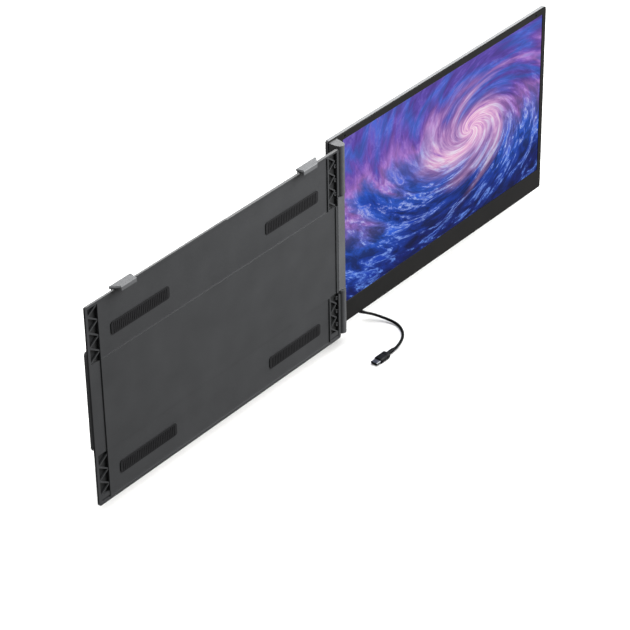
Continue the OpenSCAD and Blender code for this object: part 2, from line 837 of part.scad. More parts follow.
module screen_bezel() color([0.11, 0.11, 0.11])
    difference() {
        plate(screen_y, shell_y)
            screen_outline();
        box(view_x0, view_x0 + view_w, screen_y - 1, shell_y + 1, view_z0, view_z0 + view_h);
        for (z = column_screw_z)
            rod_y(column_screw_x, z, 1, screen_y - 1, shell_y + 1);
        for (x = bumper_at)
            rod_y(x, bumper_z, 1.1, screen_y - 1, screen_y + 0.4);
    }

// two small soft stops in the top corners of the border
module screen_bumpers() color([0.05, 0.05, 0.05])
    for (x = bumper_at)
        rod_y(x, bumper_z, 1.1, screen_y - 0.15, screen_y + 0.4);

module display_panel() color([0.25, 0.3, 0.6])
    box(view_x0 - panel_edge, view_x0 + view_w + panel_edge, shell_y, shell_y + panel_t,
        view_z0 - panel_edge, view_z0 + view_h + panel_edge);

module backlight() color([0.85, 0.85, 0.86])
    box(view_x0 - panel_edge, view_x0 + view_w + panel_edge, shell_y + panel_t,
        shell_y + panel_t + light_t, view_z0 - panel_edge, view_z0 + view_h + panel_edge);

module driver_board() color([0.1, 0.3, 0.16]) {
    back = hump_back - hump_wall;
    low = hump_z0 + board_low;
    box(hump_mid - board_w / 2, hump_mid + board_w / 2, back - board_t, back,
        low, low + board_h);
    for (x = [-0.33, -0.09, 0.21, 0.43])
        box(hump_mid + (x - 0.08) * board_w, hump_mid + x * board_w,
            back - board_t - chip_t, back - board_t + 0.1,
            low + 0.26 * board_h, low + 0.57 * board_h);
    for (x = [-0.43, 0.17])
        box(hump_mid + x * board_w, hump_mid + (x + 0.22) * board_w,
            back - board_t - plug_case_t, back - board_t + 0.1,
            low + 0.7 * board_h, low + 0.83 * board_h);
}

module shell_screws() color([0.2, 0.2, 0.21])
    for (p = shell_screw_at)
        difference() {
            union() {
                rod_y(p[0], p[1], 0.8, shell_y, screen_back - 0.5);
                rod_y(p[0], p[1], 1.7, screen_back - 1, screen_back - 0.1);
            }
            rod_y(p[0], p[1], 0.7, screen_back - 0.7, screen_back, $fn = 6);
        }

// ---- lead ----

module lead_exit() color([0.1, 0.1, 0.1]) {
    translate(elbow_at) {
        cylinder(h = screen_z0 - elbow_at[2], r = 2);
        sphere(r = 2);
        rotate([0, acos(elbow_run[2] / norm(elbow_run)),
            atan2(elbow_run[1], elbow_run[0])])
            cylinder(h = 2.8 * norm(elbow_run), r1 = 1.9, r2 = 1.7);
    }
}

module lead() color([0.08, 0.08, 0.08])
    sweep(smooth(route, 3), lead_d / 2, 8, [1, 0, 0]);

module plug_relief() color([0.13, 0.13, 0.13]) {
    rod_x(plug_y, plug_z, 2.2, plug_x2, plug_x3 - 1);
    translate([plug_x3 - 1, plug_y, plug_z])
        rotate([0, 90, 0])
            cylinder(h = 1, r1 = 2.2, r2 = 1.7);
}

module plug_body() color([0.2, 0.2, 0.2])
    difference() {
        translate([plug_x1, 0, 0])
            rotate([90, 0, 90])
                linear_extrude(plug_x2 - plug_x1)
                    rounded(plug_y - plug_w / 2, plug_y + plug_w / 2,
                        plug_z - plug_h / 2, plug_z + plug_h / 2, 2.4);
        // bevelled corners at the lead's end
        for (s = [-1, 1])
            translate([plug_x2, plug_y + s * plug_w / 2, plug_z])
                rotate([0, 0, 45])
                    cube([1.4, 1.4, 10], center = true);
    }

module plug_tongue() color([0.75, 0.76, 0.78])
    difference() {
        translate([plug_x0, 0, 0])
            rotate([90, 0, 90])
                linear_extrude(plug_x1 - plug_x0)
                    rounded(plug_y - 4.15, plug_y + 4.15, plug_z - 1.3, plug_z + 1.3, 1.2);
        box(plug_x0 - 1, plug_x1 - 1.5, plug_y - 3.5, plug_y + 3.5, plug_z - 0.75, plug_z + 0.75);
    }

frame_tray();
back_cover();
cover_screws();
rest_pads();
clip_guides();
spring_posts();
hinge_leaf();
leaf_screws();
hinge_knuckle();
knuckle_screws();
hinge_pins();
hinge_washers();
stand_brackets();
stand_pins();
clip_left();
clip_pad_left();
clip_spring_left();
clip_right();
clip_pad_right();
clip_spring_right();
stand_plate();
stand_foot();
column_upper();
column_lower();
column_caps();
column_screws();
hinge_sleeves();
screen_shell();
screen_bezel();
screen_bumpers();
display_panel();
backlight();
driver_board();
shell_screws();
lead_exit();
lead();
plug_relief();
plug_body();
plug_tongue();
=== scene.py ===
# %% Load the CAD model of the screen extender
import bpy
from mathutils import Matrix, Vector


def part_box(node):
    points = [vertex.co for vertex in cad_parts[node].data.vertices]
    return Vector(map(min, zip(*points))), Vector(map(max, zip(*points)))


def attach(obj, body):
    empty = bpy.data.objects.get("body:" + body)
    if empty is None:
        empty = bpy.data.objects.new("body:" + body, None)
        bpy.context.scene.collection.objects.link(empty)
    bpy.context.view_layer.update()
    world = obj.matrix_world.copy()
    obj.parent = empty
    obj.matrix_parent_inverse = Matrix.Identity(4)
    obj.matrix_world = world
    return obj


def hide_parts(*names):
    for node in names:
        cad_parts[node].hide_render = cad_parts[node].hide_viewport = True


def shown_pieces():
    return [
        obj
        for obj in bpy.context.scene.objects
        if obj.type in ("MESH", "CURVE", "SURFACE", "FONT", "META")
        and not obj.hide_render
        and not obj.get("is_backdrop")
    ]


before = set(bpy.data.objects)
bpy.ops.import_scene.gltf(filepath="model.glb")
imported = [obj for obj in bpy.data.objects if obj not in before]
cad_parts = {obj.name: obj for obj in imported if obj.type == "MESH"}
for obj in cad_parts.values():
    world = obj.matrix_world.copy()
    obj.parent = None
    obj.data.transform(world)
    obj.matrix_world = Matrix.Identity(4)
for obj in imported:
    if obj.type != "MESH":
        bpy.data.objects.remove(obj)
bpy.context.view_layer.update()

# %% [markdown]
# A screen extender hangs on the lid of a laptop and swings a second screen out at its
# side. The CAD model gives every solid its place, in metres, with the origin in the
# middle of the frame's front face, X to the right, Y to the back and Z up. This lesson
# only dresses it: finer pieces where the real thing is finer, and a finish for each
# surface. Lengths are written in millimetres and turned into metres by one factor.

# %% Units and imports
import math
import bpy
import bmesh
from mathutils import Matrix, Vector

MM = 0.001
QUARTER_TURN = math.pi / 2

# %% [markdown]
# The camera stands high in front of the extender and to its left, with a long lens, as a
# catalogue view does. A camera could track an empty, but that leaves its roll open. Here
# its azimuth and elevation give the axis that points back from the object, two cross
# products give the other axes, and the small roll turns them.

# %% The camera
CAMERA_AT = Vector((-1589.3, -1443.9, 1427.3)) * MM
AZIMUTH, ELEVATION, ROLL, LENS_MM = -50.16, 33.48, -1.06, 152.1


def aim_camera(position, azimuth, elevation, roll, lens):
    a, e, r = (math.radians(t) for t in (azimuth, elevation, roll))
    back = Vector((math.sin(a) * math.cos(e), -math.cos(a) * math.cos(e), math.sin(e)))
    right = Vector((0, 0, 1)).cross(back).normalized()
    up = back.cross(right)
    right, up = right * math.cos(r) + up * math.sin(r), up * math.cos(r) - right * math.sin(r)
    camera = bpy.data.objects.new("camera", bpy.data.cameras.new("camera"))
    bpy.context.scene.collection.objects.link(camera)
    turn = Matrix((right, up, back)).transposed().to_4x4()
    camera.matrix_world = Matrix.Translation(position) @ turn
    camera.data.lens = lens
    camera.data.clip_start, camera.data.clip_end = 0.05, 50
    bpy.context.scene.camera = camera
    return camera


camera = aim_camera(CAMERA_AT, AZIMUTH, ELEVATION, ROLL, LENS_MM)
print("camera at", tuple(round(v, 3) for v in camera.location))

# %% [markdown]
# Colours are written as sRGB hex values, but a shader works in linear light, so one
# function turns them. A second one feeds the inputs of a node: an input is a number, a
# colour, a socket or another node, which stands for its first output, and a list links
# several nodes to one socket. A third adds a node with its settings and feeds it, so
# that a tree of nodes reads like a recipe.

# %% Helpers for finishes
def linear(hex_value):
    """An sRGB hex colour as linear red, green, blue and alpha."""
    channels = [int(hex_value[i:i + 2], 16) / 255 for i in (1, 3, 5)]
    return tuple(c / 12.92 if c <= 0.04045 else ((c + 0.055) / 1.055) ** 2.4
                 for c in channels) + (1.0,)


def feed(tree, node, inputs):
    """Sets or links the inputs of a node in a tree."""
    for key, value in inputs.items():
        for source in value if isinstance(value, list) else [value]:
            if isinstance(source, bpy.types.Node):
                source = source.outputs[0]
            if isinstance(source, bpy.types.NodeSocket):
                tree.links.new(source, node.inputs[key])
            else:
                node.inputs[key].default_value = source
    return node


def add(tree, kind, inputs=None, stops=(), **settings):
    """Adds a node with its settings, its inputs and, on a ramp, its colour stops."""
    node = tree.nodes.new(kind)
    for name, value in settings.items():
        setattr(node, name, value)
    if stops:
        points = node.color_ramp.elements
        points.remove(points[1])
        points[0].position, points[0].color = stops[0][0], linear(stops[0][1])
        for place, colour in stops[1:]:
            points.new(place).color = linear(colour)
    return feed(tree, node, inputs or {})


def new_finish(name):
    """A new material, its node tree and its shader."""
    finish = bpy.data.materials.new(name)
    finish.use_nodes = True
    return finish, finish.node_tree, finish.node_tree.nodes["Principled BSDF"]


print("a mid grey, #808080, is", round(linear("#808080")[0], 3), "in linear light")

# %% [markdown]
# Most of the extender is painted or anodised metal and moulded plastic. Such a surface is
# never one flat colour: a fine grain from blasting, texture in the mould or spray breaks
# its gloss, and a broad, faint mottling comes from handling. One function makes them all,
# because they differ only in colour, gloss and grain. Real blasting grain is about 0.1 mm,
# far too fine for a view of the whole object, so it is drawn at 0.4 to 1.4 mm.

# %% A grained finish, for metal, paint and plastic
MOTTLE_MM, MOTTLE_SHARE = 34, 0.35
GLOSS_SWING = 0.06


def grained(name, dark, light, metallic, rough, grain_mm=0.8, depth_mm=0.02,
            stretch=(1, 1, 1), shine=0.5):
    finish, tree, shader = new_finish(name)
    place = add(tree, "ShaderNodeTexCoord").outputs["Object"]
    along = add(tree, "ShaderNodeMapping", {"Vector": place, "Scale": stretch})
    grain = add(tree, "ShaderNodeTexNoise", {"Vector": along, "Scale": 1 / MM / grain_mm,
                "Detail": 3.0, "Roughness": 0.6})
    broad = add(tree, "ShaderNodeTexNoise", {"Vector": place, "Scale": 1 / MM / MOTTLE_MM,
                "Detail": 2.0, "Roughness": 0.5})
    blend = add(tree, "ShaderNodeMix", {0: MOTTLE_SHARE, 2: grain, 3: broad})
    colour = add(tree, "ShaderNodeValToRGB", {"Fac": blend},
                 stops=[(0.36, dark), (0.64, light)])
    gloss = add(tree, "ShaderNodeMapRange", {"Value": blend, "From Min": 0.35,
                "From Max": 0.65, "To Min": rough - GLOSS_SWING,
                "To Max": rough + GLOSS_SWING})
    bump = add(tree, "ShaderNodeBump", {"Strength": 0.5, "Distance": depth_mm * MM,
               "Height": grain})
    feed(tree, shader, {"Base Color": colour, "Roughness": gloss, "Normal": bump,
                        "Metallic": metallic, "Specular IOR Level": shine})
    return finish


def dress(finish, *names):
    """Gives a finish to CAD nodes whose own shape is right."""
    for name in names:
        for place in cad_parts[name].material_slots:
            place.material = finish


print("a mottled patch is about", MOTTLE_MM, "mm wide")

# %% [markdown]
# The lead comes first of the pieces. It is a short data lead with a braided sleeve that
# leaves an elbow under the screen, sinks to the table and runs into its plug. It could be
# a curve object with a bevel, but then the braid has nothing to follow. So one smooth
# curve goes through a chain of points, and a tube is built round it.

# %% The lead's route
elbow_at = Vector((234.5, 15.6, -113.7))
elbow_run = Vector((0.96, -1.2, -0.45))
ELBOW_STEPS = 2.8
ROUTE_STEPS = 6
lead_exit_at = elbow_at + ELBOW_STEPS * elbow_run
lead_points = [(0, 0, 0), (0.96, -1.2, -0.45), (1.92, -2.4, -0.9), (4, -4.8, -1.7),
    (6.5, -7.9, -2.9), (8.9, -11.6, -4.3), (11, -15.7, -5.7), (12.8, -20.1, -6.9),
    (13.9, -24.8, -7.8), (14.2, -29.6, -8.5), (13.4, -34.4, -9), (11.4, -38.9, -9.3),
    (8.6, -43.1, -9.5), (5.1, -46.8, -9.5), (1.1, -50, -9.4), (-3.4, -52.7, -9.2),
    (-8.2, -55, -8.9), (-13, -56.8, -8.6), (-17.3, -58.1, -8.3), (-20.6, -58.8, -8.2),
    (-23, -59.1, -8.2), (-24.9, -59.1, -8.2), (-26.7, -59.1, -8.2)]


def smooth_route(points, steps):
    """A curve through all the points, with steps short pieces between two of them."""
    route = []
    for i in range(len(points) - 1):
        a, b = points[max(i - 1, 0)], points[i]
        c, d = points[i + 1], points[min(i + 2, len(points) - 1)]
        for k in range(steps):
            t = k / steps
            route.append(0.5 * ((2 * b) + (c - a) * t + (2 * a - 5 * b + 4 * c - d) * t * t
                                + (3 * b - a - 3 * c + d) * t ** 3))
    return route + [points[-1]]


lead_line = [(lead_exit_at + p) * MM
             for p in smooth_route([Vector(p) for p in lead_points], ROUTE_STEPS)]

# %% [markdown]
# The lead's sleeve is a tube of rings round that curve, with the lead's real thickness.
# Each ring is turned only as far as the curve turns, so the tube never twists, and its UV
# map gives millimetres along the tube and one turn round it, so a braid can follow it.

# %% A tube along a route
LEAD_MM, LEAD_SIDES = 3, 16


def new_piece(name, mesh, finishes, body, smooth=True):
    """A finished mesh as a piece that rides on a body."""
    piece = bpy.data.objects.new(name, mesh)
    bpy.context.scene.collection.objects.link(piece)
    for finish in finishes:
        mesh.materials.append(finish)
    mesh.polygons.foreach_set("use_smooth", [smooth] * len(mesh.polygons))
    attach(piece, body)
    return piece


def tube(name, line, radius, sides):
    """A closed tube of rings round a line, with a UV map in millimetres along it."""
    verts, faces, uv = [], [], []
    side = Vector((1, 0, 0))
    run = 0.0
    runs = []
    for i, here in enumerate(line):
        ahead = (line[min(i + 1, len(line) - 1)] - line[max(i - 1, 0)]).normalized()
        side = (side - ahead * side.dot(ahead)).normalized()
        other = ahead.cross(side)
        run += (here - line[i - 1]).length if i else 0
        runs.append(run / MM)
        for k in range(sides):
            t = 2 * math.pi * k / sides
            verts.append(here + radius * (side * math.cos(t) + other * math.sin(t)))
    for i in range(len(line) - 1):
        for k in range(sides):
            a, b = i * sides + k, i * sides + (k + 1) % sides
            faces.append((a, b, b + sides, a + sides))
            uv.append([(runs[i], k), (runs[i], k + 1), (runs[i + 1], k + 1), (runs[i + 1], k)])
    last = (len(line) - 1) * sides
    faces.append(tuple(range(sides - 1, -1, -1)))
    faces.append(tuple(range(last, last + sides)))
    mesh = bpy.data.meshes.new(name)
    mesh.from_pydata(verts, [], faces)
    layer = mesh.uv_layers.new(name="UVMap")
    for face, corners in zip(mesh.polygons, uv):
        for loop, (u, v) in zip(face.loop_indices, corners):
            layer.data[loop].uv = (u, v / sides)
    return mesh


lead_mesh = tube("lead_sleeve", lead_line, LEAD_MM / 2 * MM, LEAD_SIDES)
print("the lead's tube has", len(lead_mesh.polygons), "faces")

# %% [markdown]
# The sleeve is braided polyester: flat strands cross each other in two spirals, so light
# and dark diamonds alternate. Real strands could be modelled as curves, but they are far
# too small to show. Two waves in the UV map, one leaning each way, give the diamonds. A
# real strand on such a lead is 0.5 mm wide and is drawn at 1.2 mm to show.

# %% Braided polyester, for the lead
BRAID_MM, BRAID_TURNS = 3.2, 4


def braided_polyester():
    finish, tree, shader = new_finish("braided_polyester")
    uv = add(tree, "ShaderNodeUVMap", uv_map="UVMap")
    parts = add(tree, "ShaderNodeSeparateXYZ", {"Vector": uv}).outputs
    along = add(tree, "ShaderNodeMath", {0: parts["X"], 1: 2 * math.pi / BRAID_MM},
                operation="MULTIPLY")
    round_it = add(tree, "ShaderNodeMath", {0: parts["Y"], 1: 2 * math.pi * BRAID_TURNS},
                   operation="MULTIPLY")
    waves = []
    for lean in ("ADD", "SUBTRACT"):
        turn = add(tree, "ShaderNodeMath", {0: along, 1: round_it}, operation=lean)
        waves.append(add(tree, "ShaderNodeMath", {0: turn}, operation="SINE"))
    cross = add(tree, "ShaderNodeMath", {0: waves[0], 1: waves[1]}, operation="MULTIPLY")
    level = add(tree, "ShaderNodeMapRange", {"Value": cross, "From Min": -1.0,
                "From Max": 1.0})
    colour = add(tree, "ShaderNodeValToRGB", {"Fac": level},
                 stops=[(0.2, "#040404"), (0.85, "#131314")])
    bump = add(tree, "ShaderNodeBump", {"Strength": 0.7, "Distance": 0.15 * MM,
               "Height": level})
    feed(tree, shader, {"Base Color": colour, "Normal": bump, "Roughness": 0.7,
                        "Specular IOR Level": 0.14})
    return finish


lead_sleeve = new_piece("lead_sleeve", lead_mesh, [braided_polyester()], "screen")
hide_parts("lead")
print("the braid repeats every", BRAID_MM, "mm,", BRAID_TURNS, "times round the lead")

# %% [markdown]
# The plug is moulded soft plastic round a steel shell. Its grip is a flat oval with
# rounded ends, and a slim relief with rings keeps the lead from kinking. A bevelled block
# would do from afar, but the grip also has a shallow groove round it. So it is made
# of rings that are the same rounded section, drawn in a little at both ends, which is how
# a mould gives it its soft edges.

# %% The plug's grip
GRIP_CORNER_STEPS = 5


def rounded_section(half_y, half_z, radius, corner_steps):
    """Points of a rounded rectangle, counterclockwise when seen from +X."""
    points = []
    for sy, sz, start in ((1, 1, 0), (-1, 1, 90), (-1, -1, 180), (1, -1, 270)):
        for k in range(corner_steps + 1):
            t = math.radians(start + 90 * k / corner_steps)
            points.append((sy * (half_y - radius) + radius * math.cos(t),
                           sz * (half_z - radius) + radius * math.sin(t)))
    return points


def loft(name, stations, centre, corner_steps):
    """A closed skin over rounded sections: each station is x, half y, half z, radius."""
    verts, faces = [], []
    for x, half_y, half_z, radius in stations:
        for y, z in rounded_section(half_y, half_z, radius, corner_steps):
            verts.append(Vector((x, centre[0] + y, centre[1] + z)) * MM)
    n = len(verts) // len(stations)
    for i in range(len(stations) - 1):
        for k in range(n):
            a, b = i * n + k, i * n + (k + 1) % n
            faces.append((a, b, b + n, a + n))
    faces.append(tuple(range(n - 1, -1, -1)))
    faces.append(tuple(range((len(stations) - 1) * n, len(stations) * n)))
    mesh = bpy.data.meshes.new(name)
    mesh.from_pydata(verts, [], faces)
    return mesh


plug_black = grained("moulded_elastomer_black", "#121314", "#1a1b1d", 0.0, 0.55, 0.6, 0.02,
                     shine=0.16)
plug_low, plug_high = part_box("plug_body")
plug_x1, plug_x2 = plug_low.x / MM, plug_high.x / MM
plug_centre = ((plug_low.y + plug_high.y) / 2 / MM, (plug_low.z + plug_high.z) / 2 / MM)
half_y, half_z = (plug_high.y - plug_low.y) / 2 / MM, (plug_high.z - plug_low.z) / 2 / MM
grip_stations = [(plug_x1, half_y - 0.5, half_z - 0.5, 2.0),
    (plug_x1 + 0.2, half_y - 0.18, half_z - 0.18, 2.3),
    (plug_x1 + 0.6, half_y, half_z, 2.4), (plug_x1 + 9.2, half_y, half_z, 2.4),
    (plug_x1 + 9.5, half_y - 0.22, half_z - 0.22, 2.3),
    (plug_x1 + 9.9, half_y - 0.22, half_z - 0.22, 2.3),
    (plug_x1 + 10.2, half_y, half_z, 2.4), (plug_x2 - 1.3, half_y, half_z, 2.4),
    (plug_x2 - 0.6, half_y - 0.5, half_z - 0.15, 2.4),
    (plug_x2 - 0.15, half_y - 1.1, half_z - 0.5, 2.1),
    (plug_x2, half_y - 1.5, half_z - 0.9, 1.8)]
plug_grip = new_piece("plug_grip", loft("plug_grip", grip_stations, plug_centre,
                                        GRIP_CORNER_STEPS),
                      [plug_black], "screen")
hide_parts("plug_body")
print("the grip is", round(plug_x2 - plug_x1, 1), "mm long, with", len(grip_stations),
      "sections")

# %% [markdown]
# Some shapes of the extender repeat: rings, ribs and screws. Copies could be pasted by a
# loop, but Geometry Nodes keep the rule and its sizes together. One function makes a tree
# with named inputs. One ends it as an export needs it, with real meshes that carry their
# material. One runs it and reads the result back with new_from_object, because a modifier
# that is still live would be lost in the export.

# %% A Geometry Nodes tree and its plain mesh
def node_tree(name, sizes):
    """A new tree with a geometry output and one named number input for each size."""
    tree = bpy.data.node_groups.new(name, "GeometryNodeTree")
    tree.interface.new_socket("Geometry", in_out="INPUT", socket_type="NodeSocketGeometry")
    for label, value in sizes.items():
        kind = "NodeSocketInt" if isinstance(value, int) else "NodeSocketFloat"
        tree.interface.new_socket(label, in_out="INPUT", socket_type=kind)
    tree.interface.new_socket("Geometry", in_out="OUTPUT", socket_type="NodeSocketGeometry")
    return tree, tree.nodes.new("NodeGroupInput").outputs


def end_tree(tree, shape, finish):
    """Makes the instances real, sets their material and leads them out of the tree."""
    real = add(tree, "GeometryNodeRealizeInstances", {0: shape})
    painted = add(tree, "GeometryNodeSetMaterial", {"Geometry": real, "Material": finish})
    add(tree, "NodeGroupOutput", {0: painted})
    return tree


def grown_mesh(name, tree, sizes, points=()):
    """Runs the tree on an object that holds the points, and returns the plain mesh."""
    seed = bpy.data.meshes.new(name + "_seed")
    seed.from_pydata([Vector(p) for p in points], [], [])
    carrier = bpy.data.objects.new(name + "_carrier", seed)
    bpy.context.scene.collection.objects.link(carrier)
    modifier = carrier.modifiers.new("grow", "NODES")
    modifier.node_group = tree
    for socket in tree.interface.items_tree:
        if socket.in_out == "INPUT" and socket.name in sizes:
            modifier[socket.identifier] = sizes[socket.name]
    evaluated = carrier.evaluated_get(bpy.context.evaluated_depsgraph_get())
    mesh = bpy.data.meshes.new_from_object(evaluated)
    mesh.name = name
    mesh.materials.clear()
    bpy.data.objects.remove(carrier)
    bpy.data.meshes.remove(seed)
    print(name, "has", len(mesh.polygons), "faces")
    return mesh


print("trees made so far:", len(bpy.data.node_groups))

# %% [markdown]
# The relief is a slim sleeve with rings round it, all in the grip's plastic. The real one
# is one moulding whose rings let it bend evenly. A line of points runs along it, a short
# ring stands on each, and the sleeve joins them.

# %% The plug's relief, a sleeve with rings
RELIEF_SIDES = 24
relief_low, relief_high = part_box("plug_relief")
relief_middle = (relief_low + relief_high) / 2
relief_sizes = {"Sleeve radius": 1.75, "Ring radius": 2.15, "Ring width": 1.0,
                "Pitch": 1.7, "Length": (relief_high.x - relief_low.x) / MM, "Rings": 6}


def relief_tree(sizes, finish):
    tree, size = node_tree("relief_rings", sizes)
    sleeve = add(tree, "GeometryNodeMeshCylinder", {"Vertices": RELIEF_SIDES,
                 "Depth": size["Length"], "Radius": size["Sleeve radius"]})
    ring = add(tree, "GeometryNodeMeshCylinder", {"Vertices": RELIEF_SIDES,
               "Depth": size["Ring width"], "Radius": size["Ring radius"]})
    pitch = add(tree, "ShaderNodeCombineXYZ", {"Z": size["Pitch"]})
    start = add(tree, "ShaderNodeMath", {0: size["Pitch"], 1: (1 - sizes["Rings"]) / 2},
                operation="MULTIPLY")
    first = add(tree, "ShaderNodeCombineXYZ", {"Z": start})
    spots = add(tree, "GeometryNodeMeshLine", {"Count": size["Rings"],
                "Start Location": first, "Offset": pitch})
    rings = add(tree, "GeometryNodeInstanceOnPoints", {"Points": spots, "Instance": ring})
    joined = add(tree, "GeometryNodeJoinGeometry", {0: [sleeve, rings]})
    return end_tree(tree, joined, finish)


relief_mesh = grown_mesh("plug_relief_rings", relief_tree(relief_sizes, plug_black),
                         relief_sizes)
relief_mesh.transform(Matrix.Translation(relief_middle)
                      @ Matrix.Rotation(QUARTER_TURN, 4, "Y") @ Matrix.Scale(MM, 4))
plug_rings = new_piece("plug_relief_rings", relief_mesh, [plug_black], "screen",
                       smooth=False)
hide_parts("plug_relief")

# %% [markdown]
# The lead's own length is what can be seen from end to end, about 90 mm, and its tightest
# bend is more than four diameters.

print("the lead runs from", tuple(round(v, 3) for v in lead_line[0]), "to",
      tuple(round(v, 3) for v in lead_line[-1]))

# %% [markdown]
# The screen shows a wallpaper of its own: a slow whirl of violet and blue light with a
# pale rose middle. It could be drawn on an image, but nodes need no file and stay sharp.
# Every point of the page is turned round the middle of the whirl, the more the nearer it
# lies. The direction and the distance from there, read as one vector, will draw clouds
# out into long arms.

# %% The whirl that carries the wallpaper
view_low = Vector((205.7, 0, -86.6)) * MM
view_size = Vector((344.2, 1, 193.6)) * MM
WHIRL_AT, WHIRL_OVAL = (1.12, 0.0, 0.56), (0.8, 1.0, 1.25)
WHIRL_TURN, WHIRL_SOFT = 1.5, 0.22
AHEAD_SHARE, RING_SHARE, WHIRL_SHARE = 0.42, 1.3, 0.35

matt_glass, page, glass_shader = new_finish("matt_display_glass")
place = add(page, "ShaderNodeTexCoord").outputs["Object"]
# the lower left corner becomes 0, 0 and the height becomes 1
moved = add(page, "ShaderNodeVectorMath", {0: place, 1: tuple(view_low)},
            operation="SUBTRACT")
spot = add(page, "ShaderNodeVectorMath", {0: moved,
           1: (1 / view_size.z, 0.0, 1 / view_size.z)}, operation="MULTIPLY")
height = add(page, "ShaderNodeSeparateXYZ", {"Vector": spot}).outputs["Z"]
away = add(page, "ShaderNodeVectorMath", {0: spot, 1: WHIRL_AT}, operation="SUBTRACT")
oval = add(page, "ShaderNodeVectorMath", {0: away, 1: WHIRL_OVAL}, operation="MULTIPLY")
far = add(page, "ShaderNodeVectorMath", {0: oval}, operation="LENGTH").outputs["Value"]
soft = add(page, "ShaderNodeMath", {0: far, 1: WHIRL_SOFT}, operation="ADD")
turn = add(page, "ShaderNodeMath", {0: WHIRL_TURN, 1: soft}, operation="DIVIDE")
whirl = add(page, "ShaderNodeVectorRotate", {"Vector": oval, "Axis": (0.0, 1.0, 0.0),
            "Angle": turn}, rotation_type="AXIS_ANGLE")
ahead = add(page, "ShaderNodeVectorMath", {0: whirl}, operation="NORMALIZE")
ring = add(page, "ShaderNodeMath", {0: far, 1: RING_SHARE}, operation="MULTIPLY")
ring_along = add(page, "ShaderNodeCombineXYZ", {"Y": ring})
drawn = add(page, "ShaderNodeVectorMath", {0: ahead, 1: (AHEAD_SHARE,) * 3, 2: ring_along},
            operation="MULTIPLY_ADD")
arms = add(page, "ShaderNodeVectorMath", {0: whirl, 1: (WHIRL_SHARE,) * 3, 2: drawn},
           operation="MULTIPLY_ADD")
print("the page is", round(view_size.x / view_size.z, 2), "times as wide as high")

# %% [markdown]
# The page's ground is deep blue at the bottom and violet above, and broad clouds tear the
# border between them. Threads, a finer noise along the arms, darken its folds. A ramp
# gives the colours, because a few stops are easy to shift until they look right.

# %% Clouds and threads
clouds = add(page, "ShaderNodeTexNoise", {"Vector": whirl, "Scale": 2.1, "Detail": 6.0,
             "Roughness": 0.55, "Distortion": 0.5})
threads = add(page, "ShaderNodeTexNoise", {"Vector": arms, "Scale": 8.0, "Detail": 10.0,
              "Roughness": 0.66, "Distortion": 0.5})
cloud_swing = add(page, "ShaderNodeMath", {0: clouds, 1: -0.5}, operation="ADD")
torn = add(page, "ShaderNodeMath", {0: cloud_swing, 1: 1.5, 2: height},
           operation="MULTIPLY_ADD")
ground_stops = [(0.0, "#0b1f78"), (0.25, "#1640ae"), (0.42, "#2a5acc"), (0.55, "#6668c4"),
                (0.66, "#a070c6"), (0.78, "#6a4aae"), (0.9, "#4560c6"), (1.0, "#5a45a8")]
ground = add(page, "ShaderNodeValToRGB", {"Fac": torn}, stops=ground_stops)
darkest = add(page, "ShaderNodeMapRange", {"Value": height, "From Min": 0.25,
              "From Max": 0.8, "To Min": 0.28, "To Max": 0.72},
              interpolation_type="SMOOTHSTEP")
shade = add(page, "ShaderNodeMapRange", {"Value": threads, "From Min": 0.40,
            "From Max": 0.60, "To Min": darkest, "To Max": 1.15})
shaded = add(page, "ShaderNodeVectorMath", {0: ground, 3: shade}, operation="SCALE")
print("the ground has", len(ground_stops), "colours")

# %% [markdown]
# Thin bright crests run where the threads pass one level, as foam does on water, more of
# them low on the page. Fine grit breaks them up. A warm glow with torn edges is mixed in
# round the middle of the whirl. All of it is emission, as on a lit panel, and the matt
# glass in front only adds a weak, soft gloss.

# %% Crests, glow and the matt glass
level = add(page, "ShaderNodeMath", {0: threads, 1: -0.59}, operation="ADD")
off_level = add(page, "ShaderNodeMath", {0: level}, operation="ABSOLUTE")
ridge = add(page, "ShaderNodeMath", {0: off_level, 1: -18.0, 2: 1.0},
            operation="MULTIPLY_ADD", use_clamp=True)
thin = add(page, "ShaderNodeMath", {0: ridge, 1: 1.3}, operation="POWER")
low = add(page, "ShaderNodeMapRange", {"Value": height, "From Min": 0.2, "From Max": 0.75,
          "To Min": 0.72, "To Max": 0.06}, interpolation_type="SMOOTHSTEP")
crest = add(page, "ShaderNodeMath", {0: thin, 1: low}, operation="MULTIPLY")
grit = add(page, "ShaderNodeTexNoise", {"Vector": arms, "Scale": 34.0, "Detail": 6.0,
           "Roughness": 0.7})
broken = add(page, "ShaderNodeMapRange", {"Value": grit, "From Min": 0.38,
             "From Max": 0.62, "To Min": 0.15, "To Max": 1.35},
             interpolation_type="SMOOTHSTEP")
crests = add(page, "ShaderNodeMath", {0: crest, 1: broken}, operation="MULTIPLY")
foam = add(page, "ShaderNodeValToRGB", {"Fac": height},
           stops=[(0.05, "#6c98f6"), (0.35, "#c4d2fc"), (0.55, "#e2d8f6")])
crested = add(page, "ShaderNodeMix", {0: crests, 6: shaded, 7: foam}, data_type="RGBA",
              blend_type="SCREEN").outputs[2]
reach = add(page, "ShaderNodeMath", {0: cloud_swing, 1: 1.3, 2: far},
            operation="MULTIPLY_ADD")
glow = add(page, "ShaderNodeMapRange", {"Value": reach, "From Min": -0.02,
           "From Max": 0.44, "To Min": 0.95, "To Max": 0.0},
           interpolation_type="SMOOTHSTEP")
warm = add(page, "ShaderNodeValToRGB", {"Fac": threads},
           stops=[(0.3, "#a566c8"), (0.5, "#f3b9dd"), (0.65, "#fff4f6")])
wallpaper = add(page, "ShaderNodeMix", {0: glow, 6: crested, 7: warm},
                data_type="RGBA").outputs[2]
